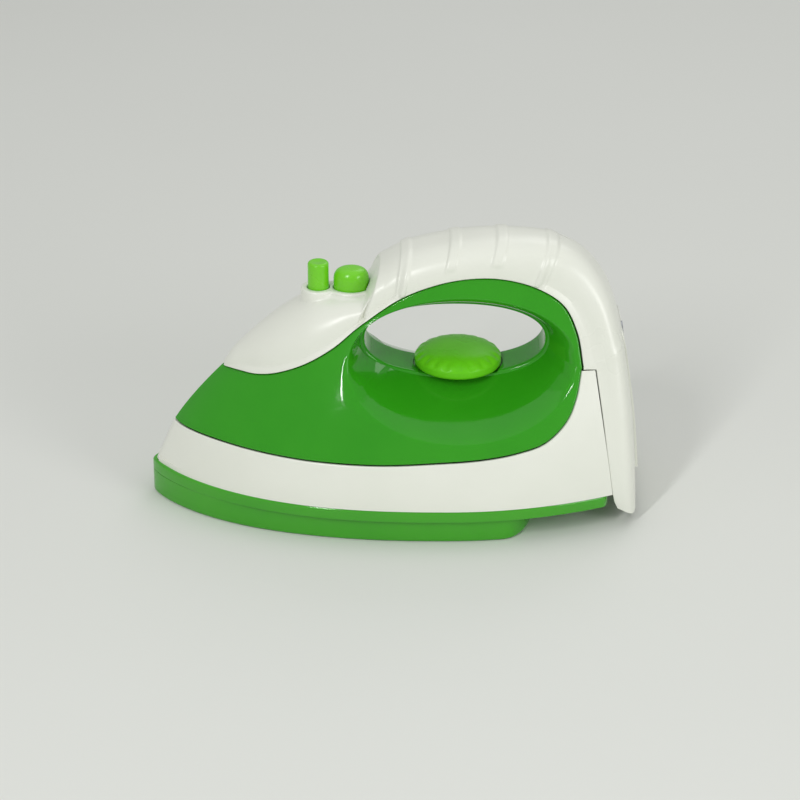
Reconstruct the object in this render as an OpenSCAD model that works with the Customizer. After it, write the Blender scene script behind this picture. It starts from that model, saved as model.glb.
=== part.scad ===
// Toy steam iron: moulded shells round a finger opening, two sprung buttons, a dial and a battery bay.
// The nose points along -X, the heel along +X, and the sole rests on Z = 0.

/* [Overall] */
// Length from the nose to the heel
body_length = 200; // [180:1:220]
// Width across the widest part of the skirt
body_width = 98; // [90:1:106]
// Height from the table to the top of the handle
body_height = 116; // [110:1:124]

/* [Shells] */
// Wall of the moulded shells
wall = 2; // [1.6:0.1:2.4]
// Gap at every seam between two shells
seam_gap = 0.3; // [0.2:0.05:0.5]
// How far the tank lies below the white shells
tank_inset = 0.6; // [0.3:0.1:1]
// How far the white edge flares out beside the tank
lip_width = 1.2; // [0.6:0.1:1.6]
// Height of that flared edge
lip_height = 2.6; // [2:0.1:3.4]
// Height of a grip rib above the handle
rib_height = 1; // [0.5:0.1:1.5]
// Number of grip ribs across the handle
rib_count = 4; // [2:1:5]

/* [Finger opening] */
// Length of the opening under the handle
opening_length = 73; // [66:1:76]
// Height of the opening under the handle
opening_height = 30.7; // [26:0.1:32]
// Width of the band that lines the opening
rim_width = 19; // [17:0.5:21]
// Rounding where the lining turns into the dish
rim_round = 1.6; // [1:0.1:2.2]
// Length of the dish pressed in round the opening
dish_length = 87; // [82:1:90]
// Height of the dish pressed in round the opening
dish_height = 54; // [50:1:58]

/* [Sole] */
// Height of the whole sole
sole_height = 15; // [13:0.5:17]
// Height of the inset slab below the sole's band
slab_height = 10; // [8:0.5:11]
// Length of the slab from the nose to its rear end
slab_length = 158; // [150:1:164]
// How far the slab's sides stand in from the band
slab_inset = 2.4; // [1:0.1:4]
// Rounding of the slab's rear corners
slab_corner = 15; // [10:1:22]
// Rounding of the band's rear corners
band_corner = 4; // [2:0.5:6]
// How far the sole's tip stands out in front of the skirt
sole_toe = 1.6; // [1:0.1:2.2]
// Bevel round the bottom of the sole
sole_bevel = 1.4; // [0.6:0.1:2]
// Depth of the moulded steam dimples
dimple_depth = 0.8; // [0.4:0.1:1.2]
// Diameter of a steam dimple
dimple_diameter = 4; // [3:0.25:5]
// Number of steam dimples on each side
dimple_count = 6; // [4:1:8]

/* [Buttons] */
// Diameter of the peg button
peg_diameter = 8.5; // [7.5:0.1:9.5]
// Height of the peg button above its collar
peg_height = 10.8; // [8:0.1:12]
// Travel of the peg button
peg_travel = 3; // [2:0.1:3.5]
// Length of the oval button
oval_length = 14.3; // [13:0.1:15]
// Width of the oval button
oval_width = 12; // [11:0.1:13]
// Height of the oval button above its collar
oval_height = 8.2; // [7:0.1:9]
// Travel of the oval button
oval_travel = 2.5; // [1.5:0.1:3]
// Clearance round each button in its guide
button_gap = 0.3; // [0.2:0.05:0.5]
// Width of the collar round the buttons
collar_width = 2.6; // [2:0.1:3]
// Depth of the button guide below the collar's top
guide_depth = 6; // [5:0.1:7]
// Depth of the collar's outer wall below its top
collar_depth = 7.9; // [7:0.1:9]
// Width of the stop flange under each button
flange_width = 0.7; // [0.6:0.05:0.75]
// Thickness of the stop flange under each button
flange_thickness = 1.2; // [1:0.1:1.6]

/* [Dial] */
// Diameter of the dial
dial_diameter = 35.4; // [32:0.1:37]
// Height of the dial's edge
dial_edge_height = 4.6; // [4:0.1:5]
// Height of the dome above the dial's edge
dial_dome_height = 3.6; // [2.5:0.1:4.5]
// Number of flutes round the dial's shoulder
flute_count = 20; // [12:1:24]
// Depth of a flute
flute_depth = 0.3; // [0.2:0.05:0.6]
// Diameter of the cutter that makes a flute
flute_diameter = 3; // [2:0.1:4]
// Diameter of the dial's spindle
spindle_diameter = 6; // [5:0.1:7]
// Running clearance round the spindle
spindle_gap = 0.1; // [0.05:0.01:0.15]
// Gap between the dial and its seat
dial_gap = 0.35; // [0.3:0.05:0.6]

/* [Battery bay] */
// Diameter of a cell
cell_diameter = 10.5; // [10:0.1:10.8]
// Length of a cell
cell_length = 44.5; // [43.8:0.1:45]
// Free room round a cell
cell_gap = 0.4; // [0.3:0.05:0.6]
// Wall of the battery box
box_wall = 1.5; // [1.2:0.1:2]
// Room for the contacts at each end of a cell
contact_room = 2.6; // [2.4:0.1:3.2]
// Lean of the battery box towards the nose, in degrees
box_lean = 6.5; // [5:0.5:8]
// Width of the battery door
door_width = 28; // [27.5:0.5:30]
// Thickness of the battery door
door_thickness = 2; // [1.6:0.1:2.4]
// How far the door's lower edge stands proud of the heel
door_proud = 1.1; // [0.6:0.1:1.4]

/* [Sound and light] */
// Diameter of the speaker
speaker_diameter = 29; // [26:0.5:32]
// Height of the speaker
speaker_height = 8; // [6:0.5:9]
// Diameter of the lamp in the nose
lamp_diameter = 5; // [3:0.5:5]
// Thickness of the circuit board
board_thickness = 1.6; // [1.2:0.1:2]
// Diameter of an insulated lead
lead_diameter = 1.5; // [1.2:0.1:1.8]

/* [Fasteners] */
// Diameter of a screw's shank
screw_diameter = 2.6; // [2.2:0.1:3]
// Diameter of a screw's head
screw_head_diameter = 5; // [4.4:0.1:5.4]
// Height of a screw's head
screw_head_height = 1.8; // [1.4:0.1:2]
// Clearance round a screw
screw_gap = 0.2; // [0.1:0.05:0.3]
// Wall of a screw boss
boss_wall = 1.6; // [1.4:0.1:2]

/* [Hidden] */

white = "#eceee6";
tank_green = "#3f9f2c";
sole_green = "#5fbf2f";
lime = "#74d321";
dial_green = "#58ba1c";
steel = "#b9bcc0";
$fn = 48;
overrun = 1;

// Overall form: the half width follows an egg shaped plan that tapers upwards
widest_share = 0.61;
nose_sharpness = 2.5;
nose_fullness = 0.75;
tail_share = 0.5975;
side_taper_share = 0.7;
taper_low_share = 0.10;
taper_high_share = 1.02;
// Nose line in side view: height and distance from the nose
nose_line_shares = [[0.131, 0.008], [0.283, 0.047], [0.499, 0.1495], [0.759, 0.3135]];

// Seams of the upper shell: inner edge x and z, ridge x and z,
// squareness of the section, turn round the rim
bridge_shares = [
    [0.1525, 0.499, 0.1535, 0.512, 2, 226],
    [0.1675, 0.5025, 0.171, 0.557, 2, 222],
    [0.1875, 0.507, 0.195, 0.6, 2, 217],
    [0.2235, 0.5145, 0.2325, 0.657, 2, 208],
    [0.266, 0.535, 0.275, 0.712, 2.1, 197],
    [0.3225, 0.578, 0.33, 0.764, 2.3, 184],
    [0.378, 0.638, 0.3825, 0.783, 2.7, 170],
    [0.42, 0.7, 0.442, 0.793, 3.2, 154]];
handle_shares = [
    [0.4345, 0.7195, 0.467, 0.893, 2.6, 149],
    [0.5085, 0.8085, 0.5225, 0.945, 2.6, 125],
    [0.577, 0.857, 0.5975, 0.979, 2.6, 105],
    [0.645, 0.880, 0.665, 0.9965, 2.6, 88],
    [0.7135, 0.8785, 0.7375, 1, 2.6, 72],
    [0.782, 0.8465, 0.8125, 0.985, 2.7, 53],
    [0.8375, 0.785, 0.88, 0.927, 3, 32],
    [0.8655, 0.692, 0.93, 0.81, 3.6, 12],
    [0.8765, 0.5905, 0.96, 0.655, 4.2, -5],
    [0.8775, 0.573, 0.9625, 0.638, 4.4, -8]];
heel_shares = [
    [0.904, 0.57, 0.9645, 0.623, 4.4, 0],
    [0.919, 0.4025, 0.982, 0.405, 4.5, 0],
    [0.9305, 0.262, 0.99, 0.25, 4.5, 0],
    [0.943, 0.1205, 0.9945, 0.1035, 4.5, 0],
    [0.952, 0.0735, 0.996, 0.0345, 4.5, 0]];
// Top edge of the skirt x and z, share of its lower edge from the nose to the heel, turn round the rim
skirt_shares = [
    [0.047, 0.283, 0, -130],
    [0.0705, 0.2835, 0.0241, -129],
    [0.115, 0.286, 0.0739, -128],
    [0.1595, 0.287, 0.1275, -126.5],
    [0.2665, 0.2845, 0.2507, -122.5],
    [0.35, 0.283, 0.3471, -117.5],
    [0.474, 0.2855, 0.489, -107],
    [0.577, 0.295, 0.6101, -93],
    [0.68, 0.306, 0.7327, -77],
    [0.749, 0.3215, 0.8211, -64],
    [0.804, 0.3475, 0.9122, -52],
    [0.8455, 0.408, 1, -38]];
// The skirt's rear corner, where its lower edge climbs the heel seam: edge x and z, seam x and z, turn
corner_shares = [
    [0.8455, 0.408, 0.942, 0.1293, -38],
    [0.866, 0.482, 0.9285, 0.289, -24],
    [0.876, 0.5715, 0.9025, 0.569, -10]];

bridge_steps = 14;
handle_steps = 9;
rib_steps = 4;
heel_steps = 7;
section_steps = 7;
lip_steps = 2;
lip_room = 5;
step_share = 0.006;
step_stop = 0.14;
skirt_steps = 22;
skirt_levels = 3;
tank_steps = 20;
nose_steps = 4;
corner_steps = 4;
plan_steps = 23;
side_steps = 18;
// Levels of the tank's skin: 0 at the opening, 1 at the edge of the dish, 2 at the outer edge
tank_level_shares = [0, 0.22, 0.46, 0.7, 0.88, 1, 1.4, 1.8, 2];
dish_end_share = 0.9;

// Places along the body, as shares of the length and the height
opening_x_share = 0.6225;
opening_z_share = 0.628;
dish_z_share = 0.586;
dial_x_share = 0.63;
collar_z_share = 0.796;
speaker_x_share = 0.475;
lamp_x_share = 0.21;
lamp_z_share = 0.26;
band_end_share = 0.942;
first_rib = 1.02;
rib_pitch = 1.353;
rib_span = 0.3;
rib_edge = 0.07;
// Screws through the right shell into the left one: x, z and reach of the boss towards the side
case_screw_shares = [[0.265, 0.62, 0.204], [0.6, 0.92, 0.245], [0.84, 0.897, 0.24]];
// Screws up through the sole: x and y
sole_screw_shares = [[0.165, 0], [0.69, 0.58], [0.69, -0.58]];

function smooth(t) = let (c = max(0, min(1, t))) c * c * (3 - 2 * c);
function px(share) = (share - 1 / 2) * body_length;
function pz(share) = share * body_height;
function unit(v) = v / norm(v);
function flip(p) = [p[0], -p[1], p[2]];

// Curve through a few points of a share table, evaluated at a height
function through(rows, z) = let (last = len(rows) - 1) [for (i = 0, sum = 0; i <= last + 1;
    sum = sum + (i > last ? 0 : rows[i][1] * pick(rows, i, z)), i = i + 1) sum][last + 1];
function pick(rows, i, z) = let (last = len(rows) - 1) [for (j = 0, part = 1; j <= last + 1;
    part = part * (j > last || j == i ? 1 : (z - rows[j][0]) / (rows[i][0] - rows[j][0])), j = j + 1)
    part][last + 1];
function nose_x(z) = px(through(nose_line_shares, min(z / body_height, nose_line_shares[3][0])));
function taper(z) = 1 - side_taper_share
    * smooth((z / body_height - taper_low_share) / (taper_high_share - taper_low_share));
function half_width(x, z) = let (middle = px(widest_share), full = taper(z) * body_width / 2)
    x < middle
    ? full * pow(max(0, 1 - pow((middle - x) / (middle - nose_x(z)), nose_sharpness)), nose_fullness)
    : full * (1 - pow((x - middle) / (tail_share * body_length), 2));

// Smooth curve through the rows of a table
function spline(rows, u) = let (i = min(floor(u), len(rows) - 2), t = u - i, b = rows[i], c = rows[i + 1],
    a = i > 0 ? rows[i - 1] : 2 * b - c, d = i + 2 < len(rows) ? rows[i + 2] : 2 * c - b)
    (2 * b + (c - a) * t + (2 * a - 5 * b + 4 * c - d) * t * t + (3 * b - a - 3 * c + d) * t * t * t) / 2;
function sample(rows, steps) = [for (k = [0 : steps]) spline(rows, k * (len(rows) - 1) / steps)];

// Outward directions of a grid of points, kept flat in the middle plane
function row_at(i, count, wrap) = wrap ? (i + count) % count : max(0, min(count - 1, i));
function direction(grid, i, j, wrap = false) = let (m = len(grid), n = len(grid[0]),
    along = grid[row_at(i + 1, m, wrap)][j] - grid[row_at(i - 1, m, wrap)][j],
    across = grid[i][min(n - 1, j + 1)] - grid[i][max(0, j - 1)], raw = cross(along, across))
    unit(grid[i][j][1] == 0 ? [raw[0], 0, raw[2]] : raw);
function shifted(grid, depth) = [for (i = [0 : len(grid) - 1]) [for (j = [0 : len(grid[0]) - 1])
    grid[i][j] + depth[i] * direction(grid, i, j)]];

// Closed wall between two equal grids of points
module thick_patch(outer, inner, wrap = false) {
    m = len(outer);
    n = len(outer[0]);
    last = wrap ? m - 1 : m - 2;
    function at(i, j) = (i % m) * n + j;
    function in(i, j) = m * n + at(i, j);
    faces = concat(
        [for (i = [0 : last], j = [0 : n - 2]) each
            [[at(i, j), at(i, j + 1), at(i + 1, j + 1)], [at(i, j), at(i + 1, j + 1), at(i + 1, j)]]],
        [for (i = [0 : last], j = [0 : n - 2]) each
            [[in(i, j), in(i + 1, j + 1), in(i, j + 1)], [in(i, j), in(i + 1, j), in(i + 1, j + 1)]]],
        [for (i = [0 : last]) each
            [[at(i, 0), at(i + 1, 0), in(i + 1, 0)], [at(i, 0), in(i + 1, 0), in(i, 0)]]],
        [for (i = [0 : last]) each [[at(i, n - 1), in(i + 1, n - 1), at(i + 1, n - 1)],
            [at(i, n - 1), in(i, n - 1), in(i + 1, n - 1)]]],
        wrap ? [] : [for (j = [0 : n - 2]) each
            [[at(0, j), in(0, j), in(0, j + 1)], [at(0, j), in(0, j + 1), at(0, j + 1)]]],
        wrap ? [] : [for (j = [0 : n - 2]) each [[at(m - 1, j), in(m - 1, j + 1), in(m - 1, j)],
            [at(m - 1, j), at(m - 1, j + 1), in(m - 1, j + 1)]]]);
    polyhedron([for (row = outer) each row, for (row = inner) each row], faces, convexity = 8);
}

// Closed skin through equal loops that turn anticlockwise, flat at both ends
module loft(loops) {
    n = len(loops[0]);
    m = len(loops);
    faces = concat(
        [[for (k = [0 : n - 1]) k], [for (k = [0 : n - 1]) m * n - 1 - k]],
        [for (i = [0 : m - 2], k = [0 : n - 1]) let (a = i * n + k, b = i * n + (k + 1) % n) each
            [[a, b + n, b], [a, a + n, b + n]]]);
    polyhedron([for (loop = loops) each loop], faces, convexity = 8);
}

// Round tube along a list of points
module tube(points, radius, sides) {
    last = len(points) - 1;
    function heading(i) = unit(points[min(last, i + 1)] - points[max(0, i - 1)]);
    function side(i) = unit(cross(heading(i), [0, 1, 0]));
    loft([for (i = [0 : last]) [for (k = [0 : sides - 1]) let (turn = 360 * k / sides)
        points[i] + radius * (cos(turn) * side(i) + sin(turn) * cross(heading(i), side(i)))]]);
}

// Coil spring standing on Z = 0
coil_rings = 8;
coil_sides = 6;
function coil_line(radius, height, wire, turns) = [for (k = [0 : turns * coil_rings])
    let (turn = 360 * k / coil_rings)
    [radius * cos(turn), radius * sin(turn), wire / 2 + (height - wire) * k / (turns * coil_rings)]];
function self_gap(line, wire) = min([for (i = [0 : len(line) - 1], j = [0 : len(line) - 1])
    if (j > i + coil_rings / 2) norm(line[i] - line[j])]) - wire;
module coil(radius, height, wire, turns) {
    line = coil_line(radius, height, wire, turns);
    echo(least_gap_between_turns = self_gap(line, wire));
    loft([for (p = line) let (out = unit([p[0], p[1], 0])) [for (side = [0 : coil_sides - 1])
        let (roll = 360 * side / coil_sides) p + wire / 2 * (cos(roll) * out - sin(roll) * [0, 0, 1])]]);
}

// Upper shell: stations along the bridge, the ribbed handle and the heel
function rib_start(k) = first_rib + k * rib_pitch - rib_span / 2;
function rib_end(k) = rib_start(k) + rib_span;
last_rib_end = rib_end(rib_count - 1);
handle_end = len(handle_shares) - 1;
handle_stops = concat(
    [for (k = [0 : rib_steps - 1]) [rib_start(0) * k / rib_steps, 0]],
    [for (r = [0 : rib_count - 1]) each concat(
        [[rib_start(r), 0], [rib_start(r) + rib_edge, 1], [rib_end(r) - rib_edge, 1], [rib_end(r), 0]],
        r == rib_count - 1 ? [] : [for (k = [1 : rib_steps - 1])
            [rib_end(r) + (rib_start(r + 1) - rib_end(r)) * k / rib_steps, 0]])],
    [for (k = [1 : handle_steps]) [last_rib_end + (handle_end - last_rib_end) * k / handle_steps, 0]]);
arch_rows = concat(sample(bridge_shares, bridge_steps),
    [for (stop = handle_stops) spline(handle_shares, stop[0])], sample(heel_shares, heel_steps));
arch_lifts = rib_height * concat([for (k = [0 : bridge_steps]) 0], [for (stop = handle_stops) stop[1]],
    [for (k = [0 : heel_steps]) 0]);

function arch_point(row, level, depth = 0) = let (
    edge = [px(row[0]), pz(row[1])], ridge = [px(row[2]), pz(row[3])],
    climb = unit(ridge - edge), room = norm(ridge - edge), fit = min(1, room / lip_height / lip_room),
    start = edge + seam_gap * climb, foot = start + lip_height * fit * climb, top = ridge - depth * climb,
    side = half_width(edge[0], edge[1]) - depth, part = min(1, level / lip_steps),
    t = max(0, level - lip_steps) / section_steps, rise = pow(sin(90 * t), 2 / row[4]),
    at = level < lip_steps ? start + (foot - start) * part : foot + (top - foot) * rise)
    [at[0], -(side - lip_width * fit * part * (2 - part)) * pow(cos(90 * t), 2 / row[4]), at[1]];
function arch_wall(row) = min(wall, norm([px(row[2]) - px(row[0]), pz(row[3]) - pz(row[1])]) / 3);
section_levels = [0 : lip_steps + section_steps];
arch_grid = [for (row = arch_rows) [for (level = section_levels) arch_point(row, level)]];
// The inside: as the outside, but its step at the handle's front lies one wall further back
inner_rows = [for (i = [0 : len(arch_rows) - 1])
    i == bridge_steps ? arch_rows[i] + [0, 0, step_share, 0, 0, 0]
    : i == bridge_steps + 1 ? spline(handle_shares, step_stop) : arch_rows[i]];
inner_grid = [for (row = inner_rows) [for (level = section_levels) arch_point(row, level, arch_wall(row))]];

// Back of the heel: the ridge line's place at a height
back_rows = concat([for (i = [handle_end - 3 : handle_end - 1]) [handle_shares[i][3], handle_shares[i][2]]],
    [for (row = heel_shares) [row[3], row[2]]]);
back_table = [for (row = sample(back_rows, len(back_rows) * 4)) [pz(row[0]), px(row[1])]];
function back_x(z) = lookup(z, back_table);

// Tank skin: stations round the outer edge, each with a rung from the opening
opening_x = px(opening_x_share);
opening_z = pz(opening_z_share);
rim_squareness = 2.2;
dish_fullness = 1.45;
function upper_stop(row) = [px(row[0]), pz(row[1]), row[5], 1];
function lower_stop(row, turn) = [px(row[0]), pz(row[1]), turn, 1];
nose_draw = 2 * seam_gap;
nose_low = skirt_shares[0];
nose_high = bridge_shares[0];
function nose_stop(t) = let (low = pz(nose_low[1]) + nose_draw,
    z = low + (pz(nose_high[1]) - nose_draw - low) * t)
    [nose_x(z), z, nose_low[3] + (nose_high[5] - 360 - nose_low[3]) * t, 0];
function drawn_in(stops, i) = let (n = len(stops), a = stops[(i + n - 1) % n], b = stops[(i + 1) % n],
    ahead = unit([b[0] - a[0], b[1] - a[1]]), draw = seam_gap * stops[i][3])
    [stops[i][0] + draw * ahead[1], stops[i][1] - draw * ahead[0], stops[i][2], stops[i][3]];
corner_stops = sample(corner_shares, corner_steps);
skirt_stops = sample(skirt_shares, skirt_steps);
tank_outline = concat(
    [for (row = sample(bridge_shares, bridge_steps)) upper_stop(row)],
    [for (k = [0 : tank_steps - 1]) upper_stop(spline(handle_shares, handle_end * k / tank_steps))],
    [for (k = [0 : corner_steps]) let (row = corner_stops[corner_steps - k]) lower_stop(row, row[4])],
    [for (k = [1 : skirt_steps - 1]) let (row = skirt_stops[skirt_steps - k]) lower_stop(row, row[3])],
    [for (k = [0 : nose_steps]) nose_stop(k / nose_steps)]);
tank_stops = [for (i = [0 : len(tank_outline) - 1]) drawn_in(tank_outline, i)];
function bent(value, power) = sign(value) * pow(abs(value), power);
function rim_point(turn) = [opening_x + opening_length / 2 * bent(cos(turn), 2 / rim_squareness),
    opening_z + opening_height / 2 * bent(sin(turn), 2 / rim_squareness)];
function in_dish(p) = [(p[0] - opening_x) * 2 / dish_length, (p[1] - pz(dish_z_share)) * 2 / dish_height];
// Share of a rung at which it leaves the dish
function dish_end(rim, edge) = let (a = in_dish(rim), b = in_dish(edge) - a, ab = a * b, bb = b * b)
    min(dish_end_share, (sqrt(ab * ab - bb * (a * a - 1)) - ab) / bb);
function tank_half(p) = max(0, half_width(p[0], p[1]) - tank_inset);
// Half width of the tank at a share of a rung, and the share that belongs to a level
function tank_profile(stop, t) = let (rim = rim_point(stop[2]), edge = [stop[0], stop[1]],
    first = rim_round / norm(edge - rim), q = max(0, min(1, (t - first) / (dish_end(rim, edge) - first))))
    rim_width / 2 + (tank_half(rim + (edge - rim) * t) - rim_width / 2) * (1 - pow(1 - q, dish_fullness));
function tank_share(stop, level) = let (rim = rim_point(stop[2]), edge = [stop[0], stop[1]],
    first = rim_round / norm(edge - rim), leave = dish_end(rim, edge))
    first + (leave - first) * min(1, level) + (1 - leave) * max(0, level - 1);
function on_rung(stop, t, y) = let (rim = rim_point(stop[2]))
    [rim[0] + (stop[0] - rim[0]) * t, y, rim[1] + (stop[1] - rim[1]) * t];
function tank_point(stop, level) = let (t = tank_share(stop, level))
    on_rung(stop, t, level == 2 && stop[3] == 0 ? 0 : -tank_profile(stop, t));
// The inside follows the same rungs, one wall further in, and ends behind the nose
function tank_inside(stop, level) = let (long = norm([stop[0], stop[1]] - rim_point(stop[2])),
    low = tank_share(stop, 0),
    thin = stop[3] == 0 ? 1 : max(0, 1 - tank_half([stop[0], stop[1]]) / (2 * wall)),
    t0 = low + wall / long, t1 = 1 - nose_wall * thin / long,
    t = t0 + (tank_share(stop, level) - low) * (t1 - t0) / (1 - low))
    on_rung(stop, t, level == 2 && stop[3] == 0 ? 0 : -max(0, tank_profile(stop, t) - wall));
nose_wall = 2.4;
tank_grid = [for (stop = tank_stops) concat(
    [on_rung(stop, 0, 0), on_rung(stop, 0, rim_round - rim_width / 2)],
    [for (level = tank_level_shares) tank_point(stop, level)])];
tank_inner = [for (stop = tank_stops) let (t = wall / norm([stop[0], stop[1]] - rim_point(stop[2])))
    concat([on_rung(stop, t, 0), on_rung(stop, t, rim_round + wall / 2 - rim_width / 2)],
        [for (level = tank_level_shares) tank_inside(stop, level)])];

// Skirt: from its lower edge up to the tank, round the nose
skirt_front = nose_x(sole_height);
band_end = px(band_end_share);
skirt_rungs = concat(
    [for (row = skirt_stops) [[skirt_front + (band_end - skirt_front) * row[2], sole_height],
        [px(row[0]), pz(row[1])]]],
    [for (k = [1 : corner_steps]) let (row = corner_stops[k])
        [[px(row[2]), max(sole_height, pz(row[3]))], [px(row[0]), pz(row[1])]]]);
function skirt_point(rung, level) = let (p = rung[0] + (rung[1] - rung[0]) * level)
    [p[0], level > 0 && rung == skirt_rungs[0] ? 0 : -half_width(p[0], p[1]), p[1]];
skirt_side = [for (rung = skirt_rungs) [for (k = [0 : skirt_levels]) skirt_point(rung, k / skirt_levels)]];
skirt_last = len(skirt_side) - 1;
skirt_grid = concat([for (k = [0 : skirt_last - 1]) [for (p = skirt_side[skirt_last - k]) flip(p)]],
    [[for (p = skirt_side[0]) [p[0], 0, p[2]]]], [for (k = [1 : skirt_last]) skirt_side[k]]);

// Outward direction of the body's egg shaped skin
function skin_direction(p) = let (d = wall / 8,
    slope_x = (half_width(p[0] + d, p[2]) - half_width(p[0] - d, p[2])) / (2 * d),
    slope_z = (half_width(p[0], p[2] + d) - half_width(p[0], p[2] - d)) / (2 * d))
    unit([-slope_x, sign(p[1]), -slope_z]);
skirt_inner = [for (row = skirt_grid) [for (p = row) let (q = p - wall * skin_direction(p))
    [q[0], q[1], max(q[2], sole_height)]]];

// Plan loop of the sole, anticlockwise from the nose, drawn in by an inset
function plan_side(end, corner, inset, draw) = let (front = nose_x(sole_height) - sole_toe + inset,
    rear = end - inset, straight = rear - corner - front)
    [for (k = [0 : plan_steps]) let (turn = max(0, 90 * (k - side_steps) / (plan_steps - side_steps)),
        x = turn == 0 ? front + straight * (1 - cos(90 * k / side_steps))
            : rear - corner * (1 - pow(sin(turn), 2 / nose_sharpness)),
        f = (x - front) / (rear - front), half = half_width(x + sole_toe * (1 - f), sole_height) - inset)
        [x, k == 0 || k == plan_steps ? 0
            : max(inset / 2, half - draw * smooth(2 * f)) * pow(cos(turn), 2 / nose_sharpness)]];
function plan_loop(z, end, corner, inset, draw) = let (side = plan_side(end, corner, inset, draw))
    concat([for (p = side) [p[0], -p[1], z]], [for (k = [1 : plan_steps - 1])
        [side[plan_steps - k][0], side[plan_steps - k][1], z]]);
slab_end = nose_x(sole_height) - sole_toe + slab_length;
function slab_loop(z, inset) = plan_loop(z, slab_end, slab_corner, inset, slab_inset);
function band_loop(z, inset) = plan_loop(z, band_end, band_corner, inset, 0);

// Shared places
floor_top = sole_height + wall;
floor_tail = 5.5;
floor_tail_half = half_width(band_end, sole_height) - wall - 2 * lip_width;
collar_top = pz(collar_z_share);
collar_bottom = collar_top - guide_depth;
oval_setback = 5.24;
button_web = 1.86;
oval_x = opening_x - opening_length / 2 - oval_setback;
peg_x = oval_x - oval_length / 2 - button_web - peg_diameter / 2;
flange_bottom = collar_bottom - seam_gap - flange_thickness;
switch_size = 6;
switch_height = 3.5;
switch_nub_height = 0.8;
switch_nub_diameter = 3.4;
press_margin = 0.2;
switch_top = flange_bottom - peg_travel - press_margin;
board_top = switch_top - switch_height - switch_nub_height;
board_width = 18.4;
oval_press_shift = 1.5;
board_margin = 5.6;
board_front = peg_x - board_margin;
oval_press_x = oval_x - oval_press_shift;
board_rear = oval_press_x + switch_size / 2 + press_margin;
post_diameter = 1.8;
post_x = oval_x;
post_y = oval_width / 2 + flange_width + seam_gap + post_diameter / 2;
spring_wire = 0.6;
spring_gap = 0.2;
spring_turns = 4;
cell_spring_turns = 3;
spring_margin = 0.05;
button_spring_radius = peg_diameter / 2 + flange_width - spring_wire / 2 - spring_margin;

dial_x = px(dial_x_share);
saddle_z = rim_saddle(dial_x);
function rim_saddle(x) = opening_z - opening_height / 2
    * pow(1 - pow(abs(x - opening_x) * 2 / opening_length, rim_squareness), 1 / rim_squareness);
seat_rise = 0.4;
seat_z = saddle_z + seat_rise;
seat_margin = 0.6;
dial_bottom = seat_z + dial_gap;
hub_diameter = 12;
clip_thickness = 1;
clip_diameter = 10;
spindle_tip = 1.2;
clip_z = saddle_z - wall - dial_gap - clip_thickness;

box_depth = cell_diameter + 2 * cell_gap + box_wall;
cell_y = cell_diameter / 2 + cell_gap + box_wall / 2;
cell_x = -cell_gap - cell_diameter / 2;
box_half = cell_y + cell_diameter / 2 + cell_gap + box_wall;
box_height = cell_length + 2 * contact_room + 2 * box_wall;
bay_z = floor_top + seam_gap + box_depth * sin(box_lean);
plate_thickness = 0.4;
plate_width = 8;
plate_depth = 7;
contact_gap = 0.1;
door_boss = screw_diameter + 2 * boss_wall;
door_screw_z = box_height + door_boss / 2;
door_sill = 0.4;
door_low = floor_top + seam_gap + door_sill;
door_margin = 0.8;
door_high = bay_z + (door_screw_z + door_boss / 2 + door_margin) * cos(box_lean);
door_flush = 0.2;
bay_clearance = 0.05;
bay_x = back_x(door_high) + (door_high - bay_z) * tan(box_lean)
    - door_thickness + door_flush - bay_clearance;
door_seat_gap = 0.3;
door_steps = 10;
door_cut_depth = 5;
door_rib = 1.6;
door_screw_length = 11;
door_reach = 14;

speaker_x = px(speaker_x_share);
holder_wall = 1.5;
holder_height = 4;
speaker_gap = 0.3;
magnet_share = 0.55;
grille_hole = 2.4;
grille_ring = 8;
grille_count = 6;
lamp_x = px(lamp_x_share);
lamp_seat = pz(lamp_z_share);
lamp_collar = 0.8;
lamp_collar_height = 1;
lamp_post_diameter = 8;

sole_seat = 9;
sole_post_gap = 0.3;
sole_boss_height = 9;
sole_screw_length = 14;
case_seat_share = 0.4;
case_screw_bite = 6;
half_gap = 0.1;
// Routes of the leads, from the battery box along the floor and up to the circuit board:
// shares of the run to the box, of the spread to the side and of the rise to the board
lead_gap = 0.2;
lead_spread = 18.5;
lead_exit = 6.2;
lead_low = floor_top + lead_diameter;
lead_high = board_top - board_thickness - lead_gap - lead_diameter / 2;
lead_front = peg_x - lead_diameter / 2;
lead_rear = bay_x - box_depth * cos(box_lean) - lead_exit * tan(box_lean) - lead_gap - lead_diameter / 4;
lead_shares = [[1, 0.32, 0.114], [0.953, 0.32, 0.105], [0.856, 0.38, 0.043], [0.742, 0.49, 0.007],
    [0.592, 0.59, 0], [0.452, 0.76, 0], [0.311, 0.97, 0], [0.188, 1, 0],
    [0.091, 0.76, 0.004], [0.03, 0.43, 0.043], [0, 0.24, 0.15], [-0.007, 0.18, 0.31],
    [-0.008, 0.17, 0.523], [-0.005, 0.18, 0.737], [-0.002, 0.2, 0.897], [0, 0.216, 1]];
function lead_route(side) = [for (share = lead_shares) [lead_front + (lead_rear - lead_front) * share[0],
    side * lead_spread * share[1], lead_low + (lead_high - lead_low) * share[2]]];
lead_sides = 8;

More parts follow.
